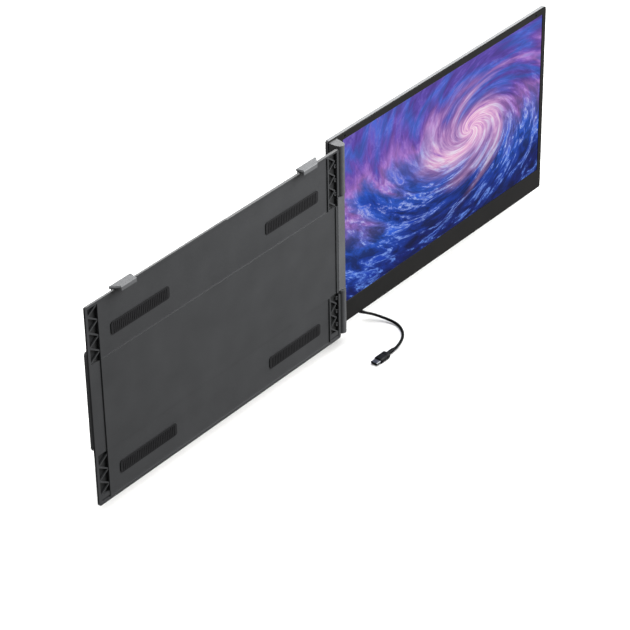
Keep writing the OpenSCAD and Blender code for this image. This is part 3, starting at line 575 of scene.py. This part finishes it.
feed(page, glass_shader, {"Emission Color": wallpaper, "Emission Strength": 0.95,
                          "Base Color": linear("#08090b"), "Roughness": 0.42,
                          "Specular IOR Level": 0.15})
print("the wallpaper is made of", len(page.nodes), "nodes")

# %% [markdown]
# The panel itself is a flat pack of glass and film. Only its matt front is seen, just
# behind the front face of the border, so a thin block with bevelled edges stands for it.

# %% The panel of matt glass
GLASS_SUNK, GLASS_PLAY, GLASS_BEVEL = 0.35 * MM, 0.05 * MM, 0.15 * MM
glass_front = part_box("screen_bezel")[0].y + GLASS_SUNK
glass_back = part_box("display_panel")[1].y
corners = (Vector((view_low.x + GLASS_PLAY, glass_front, view_low.z + GLASS_PLAY)),
           Vector((view_low.x + view_size.x - GLASS_PLAY, glass_back,
                   view_low.z + view_size.z - GLASS_PLAY)))
glass_mesh = bpy.data.meshes.new("panel_glass")
shape = bmesh.new()
bmesh.ops.create_cube(shape, size=1.0)
for vert in shape.verts:
    vert.co = Vector(corners[vert.co[i] > 0][i] for i in range(3))
bmesh.ops.bevel(shape, geom=shape.edges, offset=GLASS_BEVEL, segments=1, affect="EDGES")
shape.to_mesh(glass_mesh)
shape.free()
panel_glass = new_piece("panel_glass", glass_mesh, [matt_glass], "screen",
                        smooth=False)
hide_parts("display_panel")
print("the glass is", [round(v / MM, 1) for v in corners[1] - corners[0]], "mm")

# %% [markdown]
# The finishes of the metal parts. The frame is a thin die casting with a satin grey
# paint. The clips, the column and the hinge block are aluminium with a blasted, anodised
# surface, which scatters light nearly as paint does. The screen's housing is bright
# aluminium with a fine brushed line along its length. Inside are turned steel, drawn
# spring steel and porous bronze, each with the sheen that its making gives.

# %% Finishes for the metal parts
frame_grey = grained("satin_paint_on_casting", "#37383a", "#424345", 0.1, 0.44, 0.9,
                     shine=0.65)
cover_grey = grained("painted_aluminium_sheet", "#2c2d2f", "#363739", 0.2, 0.48, 0.9)
clip_grey = grained("blasted_aluminium_grey", "#646567", "#707173", 0.15, 0.6, 0.8, 0.02,
                    shine=0.35)
column_grey = grained("anodised_column", "#57585a", "#636466", 0.2, 0.5, 0.7, 0.015,
                      (1, 1, 0.15), shine=0.4)
cap_grey = grained("anodised_cap", "#5c5d5f", "#68696b", 0.2, 0.55, 0.8, 0.015, shine=0.4)
block_grey = grained("anodised_hinge_block", "#5e5f61", "#6a6b6d", 0.15, 0.5, 0.7, 0.015,
                     (1, 1, 0.15), shine=0.4)
stand_grey = grained("anodised_sheet_dark", "#5a5b5d", "#656668", 0.15, 0.5, 0.8)
shell_silver = grained("brushed_aluminium_silver", "#717274", "#7e7f81", 0.45, 0.5, 0.7,
                       0.012, (0.06, 1, 1))
steel = grained("turned_steel", "#8d8f92", "#a9abae", 1.0, 0.3, 0.5, 0.008, (1, 1, 6))
nickel = grained("nickel_plated_shell", "#5e6063", "#6f7174", 0.9, 0.42, 0.5, 0.008)
spring_steel = grained("drawn_spring_steel", "#6f7174", "#8a8c8f", 1.0, 0.34, 0.5, 0.008)
bronze = grained("sintered_bronze", "#8a6236", "#a47845", 1.0, 0.48, 0.5, 0.02)
screw_black = grained("blackened_steel", "#19191b", "#2b2b2d", 0.9, 0.42, 0.4, 0.01)
screw_bright = grained("plated_steel", "#6c6e70", "#85878a", 0.9, 0.36, 0.4, 0.01)
dress(frame_grey, "hinge_leaf")
dress(cover_grey, "back_cover")
dress(clip_grey, "clip_left", "clip_right")
dress(column_grey, "column_upper", "column_lower")
dress(cap_grey, "column_caps")
dress(block_grey, "hinge_knuckle")
dress(stand_grey, "stand_plate", "stand_brackets")
dress(shell_silver, "screen_shell")
dress(steel, "hinge_pins", "stand_pins", "hinge_washers", "spring_posts")
dress(nickel, "plug_tongue")
dress(spring_steel, "clip_spring_left", "clip_spring_right")
dress(bronze, "hinge_sleeves")
print("finishes so far:", len(bpy.data.materials))

# %% [markdown]
# The floors of the deep, ribbed channels at both ends get a painted shade: the same paint,
# darkened there for the shadow that falls into them. A second material on those faces
# would do, but its border would be hard. So the same paint gets a mask: it is one where
# the surface lies deep and between the two channel walls.

# %% The tray's paint, with painted shade in the channels
CHANNEL_NEAR, CHANNEL_FAR = 166.4 * MM, 179.6 * MM
CHANNEL_FLOOR_MM, SHADE_FADE_MM = 2.6, 1.2


def paint_with_painted_channel_shade(paint):
    finish = paint.copy()
    finish.name = "satin_paint_with_painted_channel_shade"
    tree = finish.node_tree
    shader = tree.nodes["Principled BSDF"]
    colour = shader.inputs["Base Color"].links[0].from_socket
    place = add(tree, "ShaderNodeTexCoord").outputs["Object"]
    parts = add(tree, "ShaderNodeSeparateXYZ", {"Vector": place}).outputs
    aside = add(tree, "ShaderNodeMath", {0: parts["X"]}, operation="ABSOLUTE")
    outward = add(tree, "ShaderNodeMath", {0: aside, 1: CHANNEL_NEAR},
                  operation="GREATER_THAN")
    inward = add(tree, "ShaderNodeMath", {0: aside, 1: CHANNEL_FAR}, operation="LESS_THAN")
    deep = add(tree, "ShaderNodeMapRange", {"Value": parts["Y"],
               "From Min": (CHANNEL_FLOOR_MM - SHADE_FADE_MM) * MM,
               "From Max": CHANNEL_FLOOR_MM * MM}, interpolation_type="SMOOTHSTEP")
    between = add(tree, "ShaderNodeMath", {0: outward, 1: inward}, operation="MULTIPLY")
    mask = add(tree, "ShaderNodeMath", {0: between, 1: deep}, operation="MULTIPLY")
    # Painted shade: the deep channel floors are darkened to #242526.
    mixed = add(tree, "ShaderNodeMix", {0: mask, 6: colour, 7: linear("#242526")},
                data_type="RGBA").outputs[2]
    feed(tree, shader, {"Base Color": mixed})
    return finish


dress(paint_with_painted_channel_shade(frame_grey), "frame_tray")
# The dark bands are painted shade in the channels.
print("the painted channel shade shows in bands", round((CHANNEL_FAR - CHANNEL_NEAR) / MM, 1), "mm wide")

# %% [markdown]
# Rubber, silicone and moulded plastic are dielectrics: their colour is in the material
# and the gloss on top is white. Silicone is soft and matt with a dusty bloom, rubber is
# darker, and plastic from a textured mould is satin.

# %% Finishes for the soft and moulded parts
silicone = grained("moulded_silicone_black", "#19191b", "#242426", 0.0, 0.78, 1.0, 0.03,
                   shine=0.3)
rubber = grained("moulded_rubber_black", "#0c0c0d", "#161617", 0.0, 0.7, 1.0, 0.03,
                 shine=0.2)
bumper_black = grained("moulded_bumper_rubber", "#040404", "#090909", 0.0, 0.7, 1.0, 0.02,
                       shine=0.06)
abs_black = grained("moulded_abs_black", "#181818", "#201f1f", 0.0, 0.5, 0.6, 0.015,
                    shine=0.2)
# Painted shade: a darker black for the border's outer side and bevels, so they read as dark
# edges.
shaded_edge_black = grained("polished_edge_with_painted_shade", "#040404", "#090909", 0.0, 0.4, 0.6, 0.005,
                     shine=0.06)
acetal = grained("moulded_acetal_black", "#1c1c1e", "#262628", 0.0, 0.42, 0.8, 0.01)
diffuser = grained("acrylic_light_guide", "#e6e8ea", "#f4f6f8", 0.0, 0.3, 1.2, 0.005)
board_green = grained("solder_mask_green", "#0f3d22", "#1a5230", 0.0, 0.35, 1.4, 0.03)
dress(silicone, "clip_pad_left", "clip_pad_right")
dress(rubber, "stand_foot", "lead_exit")
dress(bumper_black, "screen_bumpers")
dress(diffuser, "backlight")
dress(board_green, "driver_board")
print("finishes so far:", len(bpy.data.materials))

# %% [markdown]
# The black border in front of the picture is one moulding. Its outer edge is broken all
# round by a small bevel, which keeps it from chipping, and a second bevel leads down to
# the glass. The outer side and both bevels get a slightly glossier and darker black than
# the front; the darker colour is a painted shade, so that the edges read as dark lines.
# Bevelling a flat frame would give both edges one size, so it is skinned over closed rings
# that all have the same points: from the back, over the outer bevel, across the front,
# down the inner bevel and back again.

# %% Closed rings for the border
BORDER_CORNER_STEPS = 6


def ring_of(centre, half, radius, y):
    """One closed ring of the border at depth y, a rounded rectangle in millimetres."""
    return [Vector((centre[0] + x, y, centre[1] + z)) * MM
            for x, z in rounded_section(half[0], half[1], radius, BORDER_CORNER_STEPS)]


def border_mesh(name, rings, bevel_bands):
    """A closed band of quads through the rings; some bands get the second finish, a painted
    shade.
    """
    n = len(rings[0])
    faces = []
    for i in range(len(rings)):
        j = (i + 1) % len(rings)
        for k in range(n):
            after = (k + 1) % n
            faces.append((i * n + k, j * n + k, j * n + after, i * n + after))
    mesh = bpy.data.meshes.new(name)
    mesh.from_pydata([v for ring in rings for v in ring], [], faces)
    for number, face in enumerate(mesh.polygons):
        face.material_index = int(number // n in bevel_bands)
    return mesh


bezel_low, bezel_high = (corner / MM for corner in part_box("screen_bezel"))
print("the border is", round(bezel_high.x - bezel_low.x, 1), "by",
      round(bezel_high.z - bezel_low.z, 1), "mm")

# %% [markdown]
# Two sets of rings make the moulding: outer ones that follow the housing with its rounded
# corners, and inner ones that follow the picture with nearly sharp corners.

# %% The screen's border
OUTER_RADIUS, INNER_RADIUS = 2.5, 0.2
OUTER_BEVEL, INNER_BEVEL = 0.55, 0.4
# The outer side and both bevels get the darker black, a painted shade.
BEVEL_BANDS = (0, 1, 3)
border_middle = ((bezel_low.x + bezel_high.x) / 2, (bezel_low.z + bezel_high.z) / 2)
border_half = ((bezel_high.x - bezel_low.x) / 2, (bezel_high.z - bezel_low.z) / 2)
view_half = (view_size.x / 2 / MM, view_size.z / 2 / MM)
view_middle = (view_low.x / MM + view_half[0], view_low.z / MM + view_half[1])


def outer_ring(inset, y):
    return ring_of(border_middle, (border_half[0] - inset, border_half[1] - inset),
                   OUTER_RADIUS - inset, y)


def inner_ring(inset, y):
    return ring_of(view_middle, (view_half[0] + inset, view_half[1] + inset),
                   INNER_RADIUS + inset, y)


border_rings = [outer_ring(0, bezel_high.y), outer_ring(0, bezel_low.y + OUTER_BEVEL),
                outer_ring(OUTER_BEVEL, bezel_low.y), inner_ring(INNER_BEVEL, bezel_low.y),
                inner_ring(0, bezel_low.y + INNER_BEVEL), inner_ring(0, bezel_high.y)]
screen_border = new_piece("screen_border",
                          border_mesh("screen_border", border_rings, BEVEL_BANDS),
                          [abs_black, shaded_edge_black], "screen", smooth=False)
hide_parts("screen_bezel")
print("the border has", len(screen_border.data.polygons), "faces")

# %% [markdown]
# Screws repeat all over the extender. Their places could be typed in again, but the CAD
# model has them: a node's mesh is taken apart into its loose solids, and the box of each
# gives its middle and its ends, so every head sits in its hole.

# %% Find the solids of a node
SAME_POINT = 1e-7


def solids_of(name):
    """The lowest and highest corner of every separate solid in a CAD node, in metres."""
    copy = bmesh.new()
    copy.from_mesh(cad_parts[name].data)
    bmesh.ops.remove_doubles(copy, verts=copy.verts, dist=SAME_POINT)
    copy.verts.ensure_lookup_table()
    seen, boxes = set(), []
    for vert in copy.verts:
        if vert.index in seen:
            continue
        stack, members = [vert], []
        seen.add(vert.index)
        while stack:
            here = stack.pop()
            members.append(here.co.copy())
            for edge in here.link_edges:
                other = edge.other_vert(here)
                if other.index not in seen:
                    seen.add(other.index)
                    stack.append(other)
        boxes.append(tuple(Vector(pick(m[i] for m in members) for i in range(3))
                           for pick in (min, max)))
    copy.free()
    return boxes


print("screws in the back cover:", len(solids_of("cover_screws")))

# %% [markdown]
# The screws are small button heads with a hexagon socket. One tree builds a head in
# millimetres, a low cylinder with a cone on it, adds a shank, cuts the hexagon out and
# puts one screw on each point. Booleans are slow on big meshes, but this one is cut once
# and then repeated. The head's top is at 0 and the shank points down.

# %% One tree for all the screws
SCREW_SIZES = ("Head radius", "Head height", "Socket radius", "Shank radius", "Length")
HEAD_SIDES, SHANK_SIDES, SOCKET_SIDES = 32, 20, 6
RIM_SHARE, DOME_SHARE, TOP_SHARE, SOCKET_SHARE = 0.55, 0.45, 0.72, 1.4
SHANK_SUNK = -0.1


def screw_tree(finish, sizes):
    tree, size = node_tree("button_head_screw", sizes)
    rim_depth = add(tree, "ShaderNodeMath", {0: size["Head height"], 1: RIM_SHARE},
                    operation="MULTIPLY")
    dome_depth = add(tree, "ShaderNodeMath", {0: size["Head height"], 1: DOME_SHARE},
                     operation="MULTIPLY")
    half_rim = add(tree, "ShaderNodeMath", {0: rim_depth, 1: -0.5}, operation="MULTIPLY")
    rim_at = add(tree, "ShaderNodeMath", {0: half_rim, 1: dome_depth}, operation="SUBTRACT")
    rim = add(tree, "GeometryNodeMeshCylinder", {"Vertices": HEAD_SIDES, "Depth": rim_depth,
              "Radius": size["Head radius"]})
    dome_at = add(tree, "ShaderNodeMath", {0: dome_depth, 1: -1.0}, operation="MULTIPLY")
    dome_top = add(tree, "ShaderNodeMath", {0: size["Head radius"], 1: TOP_SHARE},
                   operation="MULTIPLY")
    dome = add(tree, "GeometryNodeMeshCone", {"Vertices": HEAD_SIDES, "Depth": dome_depth,
               "Radius Bottom": size["Head radius"], "Radius Top": dome_top})
    half_shank = add(tree, "ShaderNodeMath", {0: size["Length"], 1: -0.5},
                     operation="MULTIPLY")
    shank_at = add(tree, "ShaderNodeMath", {0: half_shank, 1: SHANK_SUNK}, operation="ADD")
    shank = add(tree, "GeometryNodeMeshCylinder", {"Vertices": SHANK_SIDES,
                "Depth": size["Length"], "Radius": size["Shank radius"]})
    shapes = []
    for shape, height in ((rim, rim_at), (dome, dome_at), (shank, shank_at)):
        lift = add(tree, "ShaderNodeCombineXYZ", {"Z": height})
        shapes.append(add(tree, "GeometryNodeTransform", {"Geometry": shape,
                          "Translation": lift}))
    solid = add(tree, "GeometryNodeMeshBoolean", {"Mesh 2": shapes}, operation="UNION")
    socket_depth = add(tree, "ShaderNodeMath", {0: size["Head height"], 1: SOCKET_SHARE},
                       operation="MULTIPLY")
    socket = add(tree, "GeometryNodeMeshCylinder", {"Vertices": SOCKET_SIDES,
                 "Depth": socket_depth, "Radius": size["Socket radius"]})
    cut = add(tree, "GeometryNodeMeshBoolean", {"Mesh 1": solid, "Mesh 2": socket},
              operation="DIFFERENCE")
    spots = add(tree, "GeometryNodeMeshToPoints", {"Mesh": size["Geometry"]})
    placed = add(tree, "GeometryNodeInstanceOnPoints", {"Points": spots, "Instance": cut,
                 "Scale": (MM, MM, MM)})
    turned = add(tree, "GeometryNodeRotateInstances", {"Instances": placed,
                 "Rotation": (-QUARTER_TURN, 0.0, 0.0)})
    return end_tree(tree, turned, finish)


print("a screw has", len(SCREW_SIZES), "sizes:", ", ".join(SCREW_SIZES))

# %% [markdown]
# Each row of the table is one kind of screw, with its finish, the body that it is in, the
# way that it faces and its five sizes in millimetres. Those that face forward are grown
# facing back and then turned round as a whole.

# %% Screw heads on all the CAD screws
SCREWS = [("cover_screws", screw_black, "frame", 1, (1.7, 0.7, 0.85, 0.9, 3.0)),
          ("knuckle_screws", screw_black, "frame", 1, (1.6, 1.0, 0.75, 0.9, 5.0)),
          ("leaf_screws", screw_bright, "frame", -1, (1.3, 0.8, 0.6, 0.8, 4.0)),
          ("shell_screws", screw_black, "screen", 1, (1.7, 0.9, 0.75, 0.8, 3.4)),
          ("column_screws", screw_black, "screen", 1, (1.9, 1.0, 0.85, 1.0, 8.0))]
for node, finish, body, facing, row in SCREWS:
    sizes = dict(zip(SCREW_SIZES, row))
    spots = []
    for low_corner, high_corner in solids_of(node):
        middle = (low_corner + high_corner) / 2
        top = (high_corner.y if facing > 0 else low_corner.y) * facing
        spots.append((middle.x * facing, top, middle.z))
    heads = grown_mesh(node + "_heads", screw_tree(finish, sizes), sizes, spots)
    if facing < 0:
        heads.transform(Matrix.Rotation(math.pi, 4, "Z"))
    piece = new_piece(node + "_heads", heads, [finish], body, smooth=False)
    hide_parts(node)

# %% [markdown]
# The lid rests on four silicone strips that lie on the tray's sunken face. Such strips
# are moulded with fine ribs across them, so that they grip and let air through. One tree
# grows a strip: a rounded rectangle is filled and pushed up into a plate, and a row of
# half round ribs stands on it. Real ribs are about 1 mm apart and are drawn 2.5 mm apart
# to show.

# %% One tree for a ribbed strip
RIB_SIDES, STRIP_CORNER_STEPS = 12, 6
STRIP_JOIN_MM = 0.001


def strip_tree(finish, sizes):
    tree, size = node_tree("ribbed_strip", sizes)
    plate_top = add(tree, "ShaderNodeMath", {0: size["Depth"], 1: size["Rib radius"]},
                    operation="SUBTRACT")
    outline = add(tree, "GeometryNodeCurvePrimitiveQuadrilateral",
                  {"Width": size["Width"], "Height": size["Height"]})
    rounded = add(tree, "GeometryNodeFilletCurve", {"Curve": outline,
                  "Count": STRIP_CORNER_STEPS, "Radius": size["Corner"]}, mode="POLY")
    sheet = add(tree, "GeometryNodeFillCurve", {"Curve": rounded})
    risen = add(tree, "GeometryNodeExtrudeMesh", {"Mesh": sheet,
                "Offset Scale": plate_top, "Individual": False})
    under = add(tree, "GeometryNodeFlipFaces", {"Mesh": sheet})
    plate = add(tree, "GeometryNodeJoinGeometry", {0: [risen, under]})
    closed = add(tree, "GeometryNodeMergeByDistance", {"Geometry": plate,
                 "Distance": STRIP_JOIN_MM})
    short = add(tree, "ShaderNodeMath", {0: size["Corner"], 1: -1.0}, operation="MULTIPLY")
    rib_length = add(tree, "ShaderNodeMath", {0: size["Height"], 1: short}, operation="ADD")
    rib = add(tree, "GeometryNodeMeshCylinder", {"Vertices": RIB_SIDES,
              "Radius": size["Rib radius"], "Depth": rib_length})
    lying = add(tree, "GeometryNodeTransform", {"Geometry": rib,
                "Rotation": (QUARTER_TURN, 0.0, 0.0)})
    gaps = add(tree, "ShaderNodeMath", {0: size["Ribs"], 1: -1.0}, operation="ADD")
    span = add(tree, "ShaderNodeMath", {0: size["Pitch"], 1: gaps}, operation="MULTIPLY")
    start = add(tree, "ShaderNodeMath", {0: span, 1: -0.5}, operation="MULTIPLY")
    first = add(tree, "ShaderNodeCombineXYZ", {"X": start, "Z": plate_top})
    step = add(tree, "ShaderNodeCombineXYZ", {"X": size["Pitch"]})
    row = add(tree, "GeometryNodeMeshLine", {"Count": size["Ribs"],
              "Start Location": first, "Offset": step})
    ribs = add(tree, "GeometryNodeInstanceOnPoints", {"Points": row, "Instance": lying})
    strip = add(tree, "GeometryNodeJoinGeometry", {0: [closed, ribs]})
    return end_tree(tree, strip, finish)


pad_boxes = solids_of("rest_pads")
pad_size = (pad_boxes[0][1] - pad_boxes[0][0]) / MM
strip_sizes = {"Width": pad_size.x, "Height": pad_size.z, "Depth": pad_size.y,
               "Corner": 3.0, "Rib radius": 0.4, "Pitch": 2.5, "Ribs": 30}
strip_mesh = grown_mesh("ribbed_strip", strip_tree(silicone, strip_sizes), strip_sizes)

# %% [markdown]
# The four strips are one piece, because they are of one material on one body. The strip
# is grown lying on its back, so each copy is stood up and moved to its place.

# %% Ribbed rest pads
all_strips = bmesh.new()
for low_corner, high_corner in pad_boxes:
    one = strip_mesh.copy()
    back = (low_corner + high_corner) / 2
    back.y = high_corner.y
    one.transform(Matrix.Translation(back) @ Matrix.Rotation(QUARTER_TURN, 4, "X")
                  @ Matrix.Scale(MM, 4))
    all_strips.from_mesh(one)
pad_mesh = bpy.data.meshes.new("ribbed_pads")
all_strips.to_mesh(pad_mesh)
all_strips.free()
ribbed_pads = new_piece("ribbed_pads", pad_mesh, [silicone], "frame",
                        smooth=False)
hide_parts("rest_pads")
print("the pads have", len(pad_mesh.polygons), "faces")

# %% [markdown]
# Each clip slides in a moulded guide at the back of the tray. A guide is a channel with a
# thin floor, and the floor is slotted from below, so that the clip's spring can stretch up
# into it. One tree cuts the channel and the slot out of a block and sets a guide on each
# of the two points. The cutters are longer than the block, so that they leave no skin.

# %% The clips' guides
CUT_OVER_MM = 2.0
guide_boxes = solids_of("clip_guides")
guide_size = (guide_boxes[0][1] - guide_boxes[0][0]) / MM
guide_sizes = {"Width": guide_size.x, "Depth": guide_size.y, "Height": guide_size.z,
               "Floor": 0.5, "Channel width": 16.8, "Slot width": 3.2, "Slot height": 27.0}


def guide_tree(finish, sizes):
    tree, size = node_tree("slotted_guide", sizes)
    block_size = add(tree, "ShaderNodeCombineXYZ", {"X": size["Width"], "Y": size["Depth"],
                     "Z": size["Height"]})
    block = add(tree, "GeometryNodeMeshCube", {"Size": block_size})
    over = add(tree, "ShaderNodeMath", {0: size["Height"], 1: CUT_OVER_MM}, operation="ADD")
    channel_size = add(tree, "ShaderNodeCombineXYZ", {"X": size["Channel width"],
                       "Y": size["Depth"], "Z": over})
    channel = add(tree, "GeometryNodeMeshCube", {"Size": channel_size})
    channel_at = add(tree, "ShaderNodeCombineXYZ", {"Y": size["Floor"]})
    twice = add(tree, "ShaderNodeMath", {0: size["Slot height"], 1: 2.0},
                operation="MULTIPLY")
    slot_size = add(tree, "ShaderNodeCombineXYZ", {"X": size["Slot width"],
                    "Y": size["Depth"], "Z": twice})
    slot = add(tree, "GeometryNodeMeshCube", {"Size": slot_size})
    slot_at = add(tree, "ShaderNodeVectorMath", {0: block_size, 1: (0.0, -0.5, -0.5)},
                  operation="MULTIPLY")
    cutters = [add(tree, "GeometryNodeTransform", {"Geometry": shape, "Translation": spot})
               for shape, spot in ((channel, channel_at), (slot, slot_at))]
    guide = add(tree, "GeometryNodeMeshBoolean", {"Mesh 1": block, "Mesh 2": cutters},
                operation="DIFFERENCE")
    spots = add(tree, "GeometryNodeMeshToPoints", {"Mesh": size["Geometry"]})
    guides = add(tree, "GeometryNodeInstanceOnPoints", {"Points": spots,
                 "Instance": guide, "Scale": (MM, MM, MM)})
    return end_tree(tree, guides, finish)


guide_mesh = grown_mesh("slotted_guides", guide_tree(acetal, guide_sizes), guide_sizes,
                        [(low_corner + high_corner) / 2
                         for low_corner, high_corner in guide_boxes])
slotted_guides = new_piece("slotted_guides", guide_mesh, [acetal], "frame",
                           smooth=False)
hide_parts("clip_guides")

# %% [markdown]
# The floor is a plain pale sheet, 126 mm below the middle of the frame: the table on
# which the lead lies. The extender itself is held by the laptop's lid, which isn't here.

# %% Floor
FLOOR_Z, FLOOR_HALF, PAPER_GRAIN_MM = -126 * MM, 9, 3
floor_mesh = bpy.data.meshes.new("floor")
floor_mesh.from_pydata([(x * FLOOR_HALF, y * FLOOR_HALF, FLOOR_Z)
                        for x, y in ((-1, -1), (1, -1), (1, 1), (-1, 1))],
                       [], [(0, 1, 2, 3)])
floor = bpy.data.objects.new("floor", floor_mesh)
bpy.context.scene.collection.objects.link(floor)
floor_mesh.materials.append(grained("matt_studio_paper", "#f4f4f3", "#f8f8f7", 0.0, 0.9,
                                    PAPER_GRAIN_MM, 0.01))
floor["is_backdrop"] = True
print("the floor lies at", FLOOR_Z, "m")

# %% [markdown]
# Studio light. A large softbox at the front right gives the metal its shading, and a
# broad rim light from behind and above makes every upper edge shine, while what faces
# left stays dark. Weak lights from behind and from the left fill the rest. Suns with a
# wide angle are used for these, because their light is the same all along the object.
# The table has a lamp of its own, so that it stays an even white.

# %% Lights
def aimed(name, kind, toward, **settings):
    """A lamp that shines from the direction toward, onto the origin."""
    lamp = bpy.data.objects.new(name, bpy.data.lights.new(name, kind))
    bpy.context.scene.collection.objects.link(lamp)
    lamp.rotation_mode = "QUATERNION"
    lamp.rotation_quaternion = Vector(toward).to_track_quat("Z", "Y")
    for setting, value in settings.items():
        setattr(lamp.data, setting, value)
    return lamp


softbox = aimed("softbox", "AREA", (0.6, -0.75, 0.75), shape="SQUARE", size=0.7, energy=27)
softbox.location = (0.8, -0.75, 0.75)
rim_light = aimed("rim_light", "SUN", (0.60, 0.50, 0.62), energy=2.0,
                  angle=math.radians(50))
back_light = aimed("back_light", "SUN", (-0.1, 1.0, 0.2), energy=1.2,
                   angle=math.radians(40))
left_light = aimed("left_light", "SUN", (-1.0, 0.0, 0.2), energy=0.3,
                   angle=math.radians(60))
table_lamp = aimed("table_lamp", "SUN", (0.1, -0.1, 1.0), energy=4.4,
                   angle=math.radians(70))
print("lamps:", sorted(light.name for light in bpy.data.lights))

# %% [markdown]
# The sky is a gradient, bright above and to the right and dim to the left, which gives
# the satin surfaces something to mirror. The camera itself sees a plain pale backdrop in
# its place, because a gradient behind the object would distract.

# %% Sky and backdrop
world = bpy.data.worlds.new("studio")
world.use_nodes = True
sky = world.node_tree
toward = add(sky, "ShaderNodeTexCoord").outputs["Generated"]
ahead = add(sky, "ShaderNodeSeparateXYZ", {"Vector": toward}).outputs
above = add(sky, "ShaderNodeMapRange", {"Value": ahead["Z"], "From Min": -0.25,
            "From Max": 0.9, "To Min": 0.06, "To Max": 0.75})
beside = add(sky, "ShaderNodeMapRange", {"Value": ahead["X"], "From Min": -0.6,
             "From Max": 0.9, "To Min": 0.0, "To Max": 0.30})
dim_left = add(sky, "ShaderNodeMapRange", {"Value": ahead["X"], "From Min": -0.9,
               "From Max": 0.3, "To Min": 0.3, "To Max": 1.0})
both_ways = add(sky, "ShaderNodeMath", {0: above, 1: beside}, operation="ADD")
strength = add(sky, "ShaderNodeMath", {0: both_ways, 1: dim_left}, operation="MULTIPLY")
studio = feed(sky, sky.nodes["Background"], {"Color": linear("#f8f8f6"),
              "Strength": strength})
backdrop = add(sky, "ShaderNodeBackground", {"Color": linear("#fafafa"), "Strength": 1.0})
seen = add(sky, "ShaderNodeLightPath").outputs["Is Camera Ray"]
both = add(sky, "ShaderNodeMixShader", {0: seen, 1: studio, 2: backdrop})
feed(sky, sky.nodes["World Output"], {"Surface": both})
bpy.context.scene.world = world
bpy.context.scene.view_settings.view_transform = "Standard"
print("the sky is made of", len(sky.nodes), "nodes")

# %% [markdown]
# Light linking shares out the lamps: those for the extender leave the table alone, and
# the table's lamp leaves the extender alone, so each can be set without the other. The
# table is also left out of the reflections, where its white would wash out dark parts.

# %% Share out the lamps
extender_pieces = bpy.data.collections.new("extender_pieces")
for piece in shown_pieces():
    extender_pieces.objects.link(piece)
table_only = bpy.data.collections.new("table_only")
table_only.objects.link(floor)
for lamp in (softbox, rim_light, back_light, left_light):
    lamp.light_linking.receiver_collection = extender_pieces
table_lamp.light_linking.receiver_collection = table_only
floor.visible_glossy = floor.visible_diffuse = False
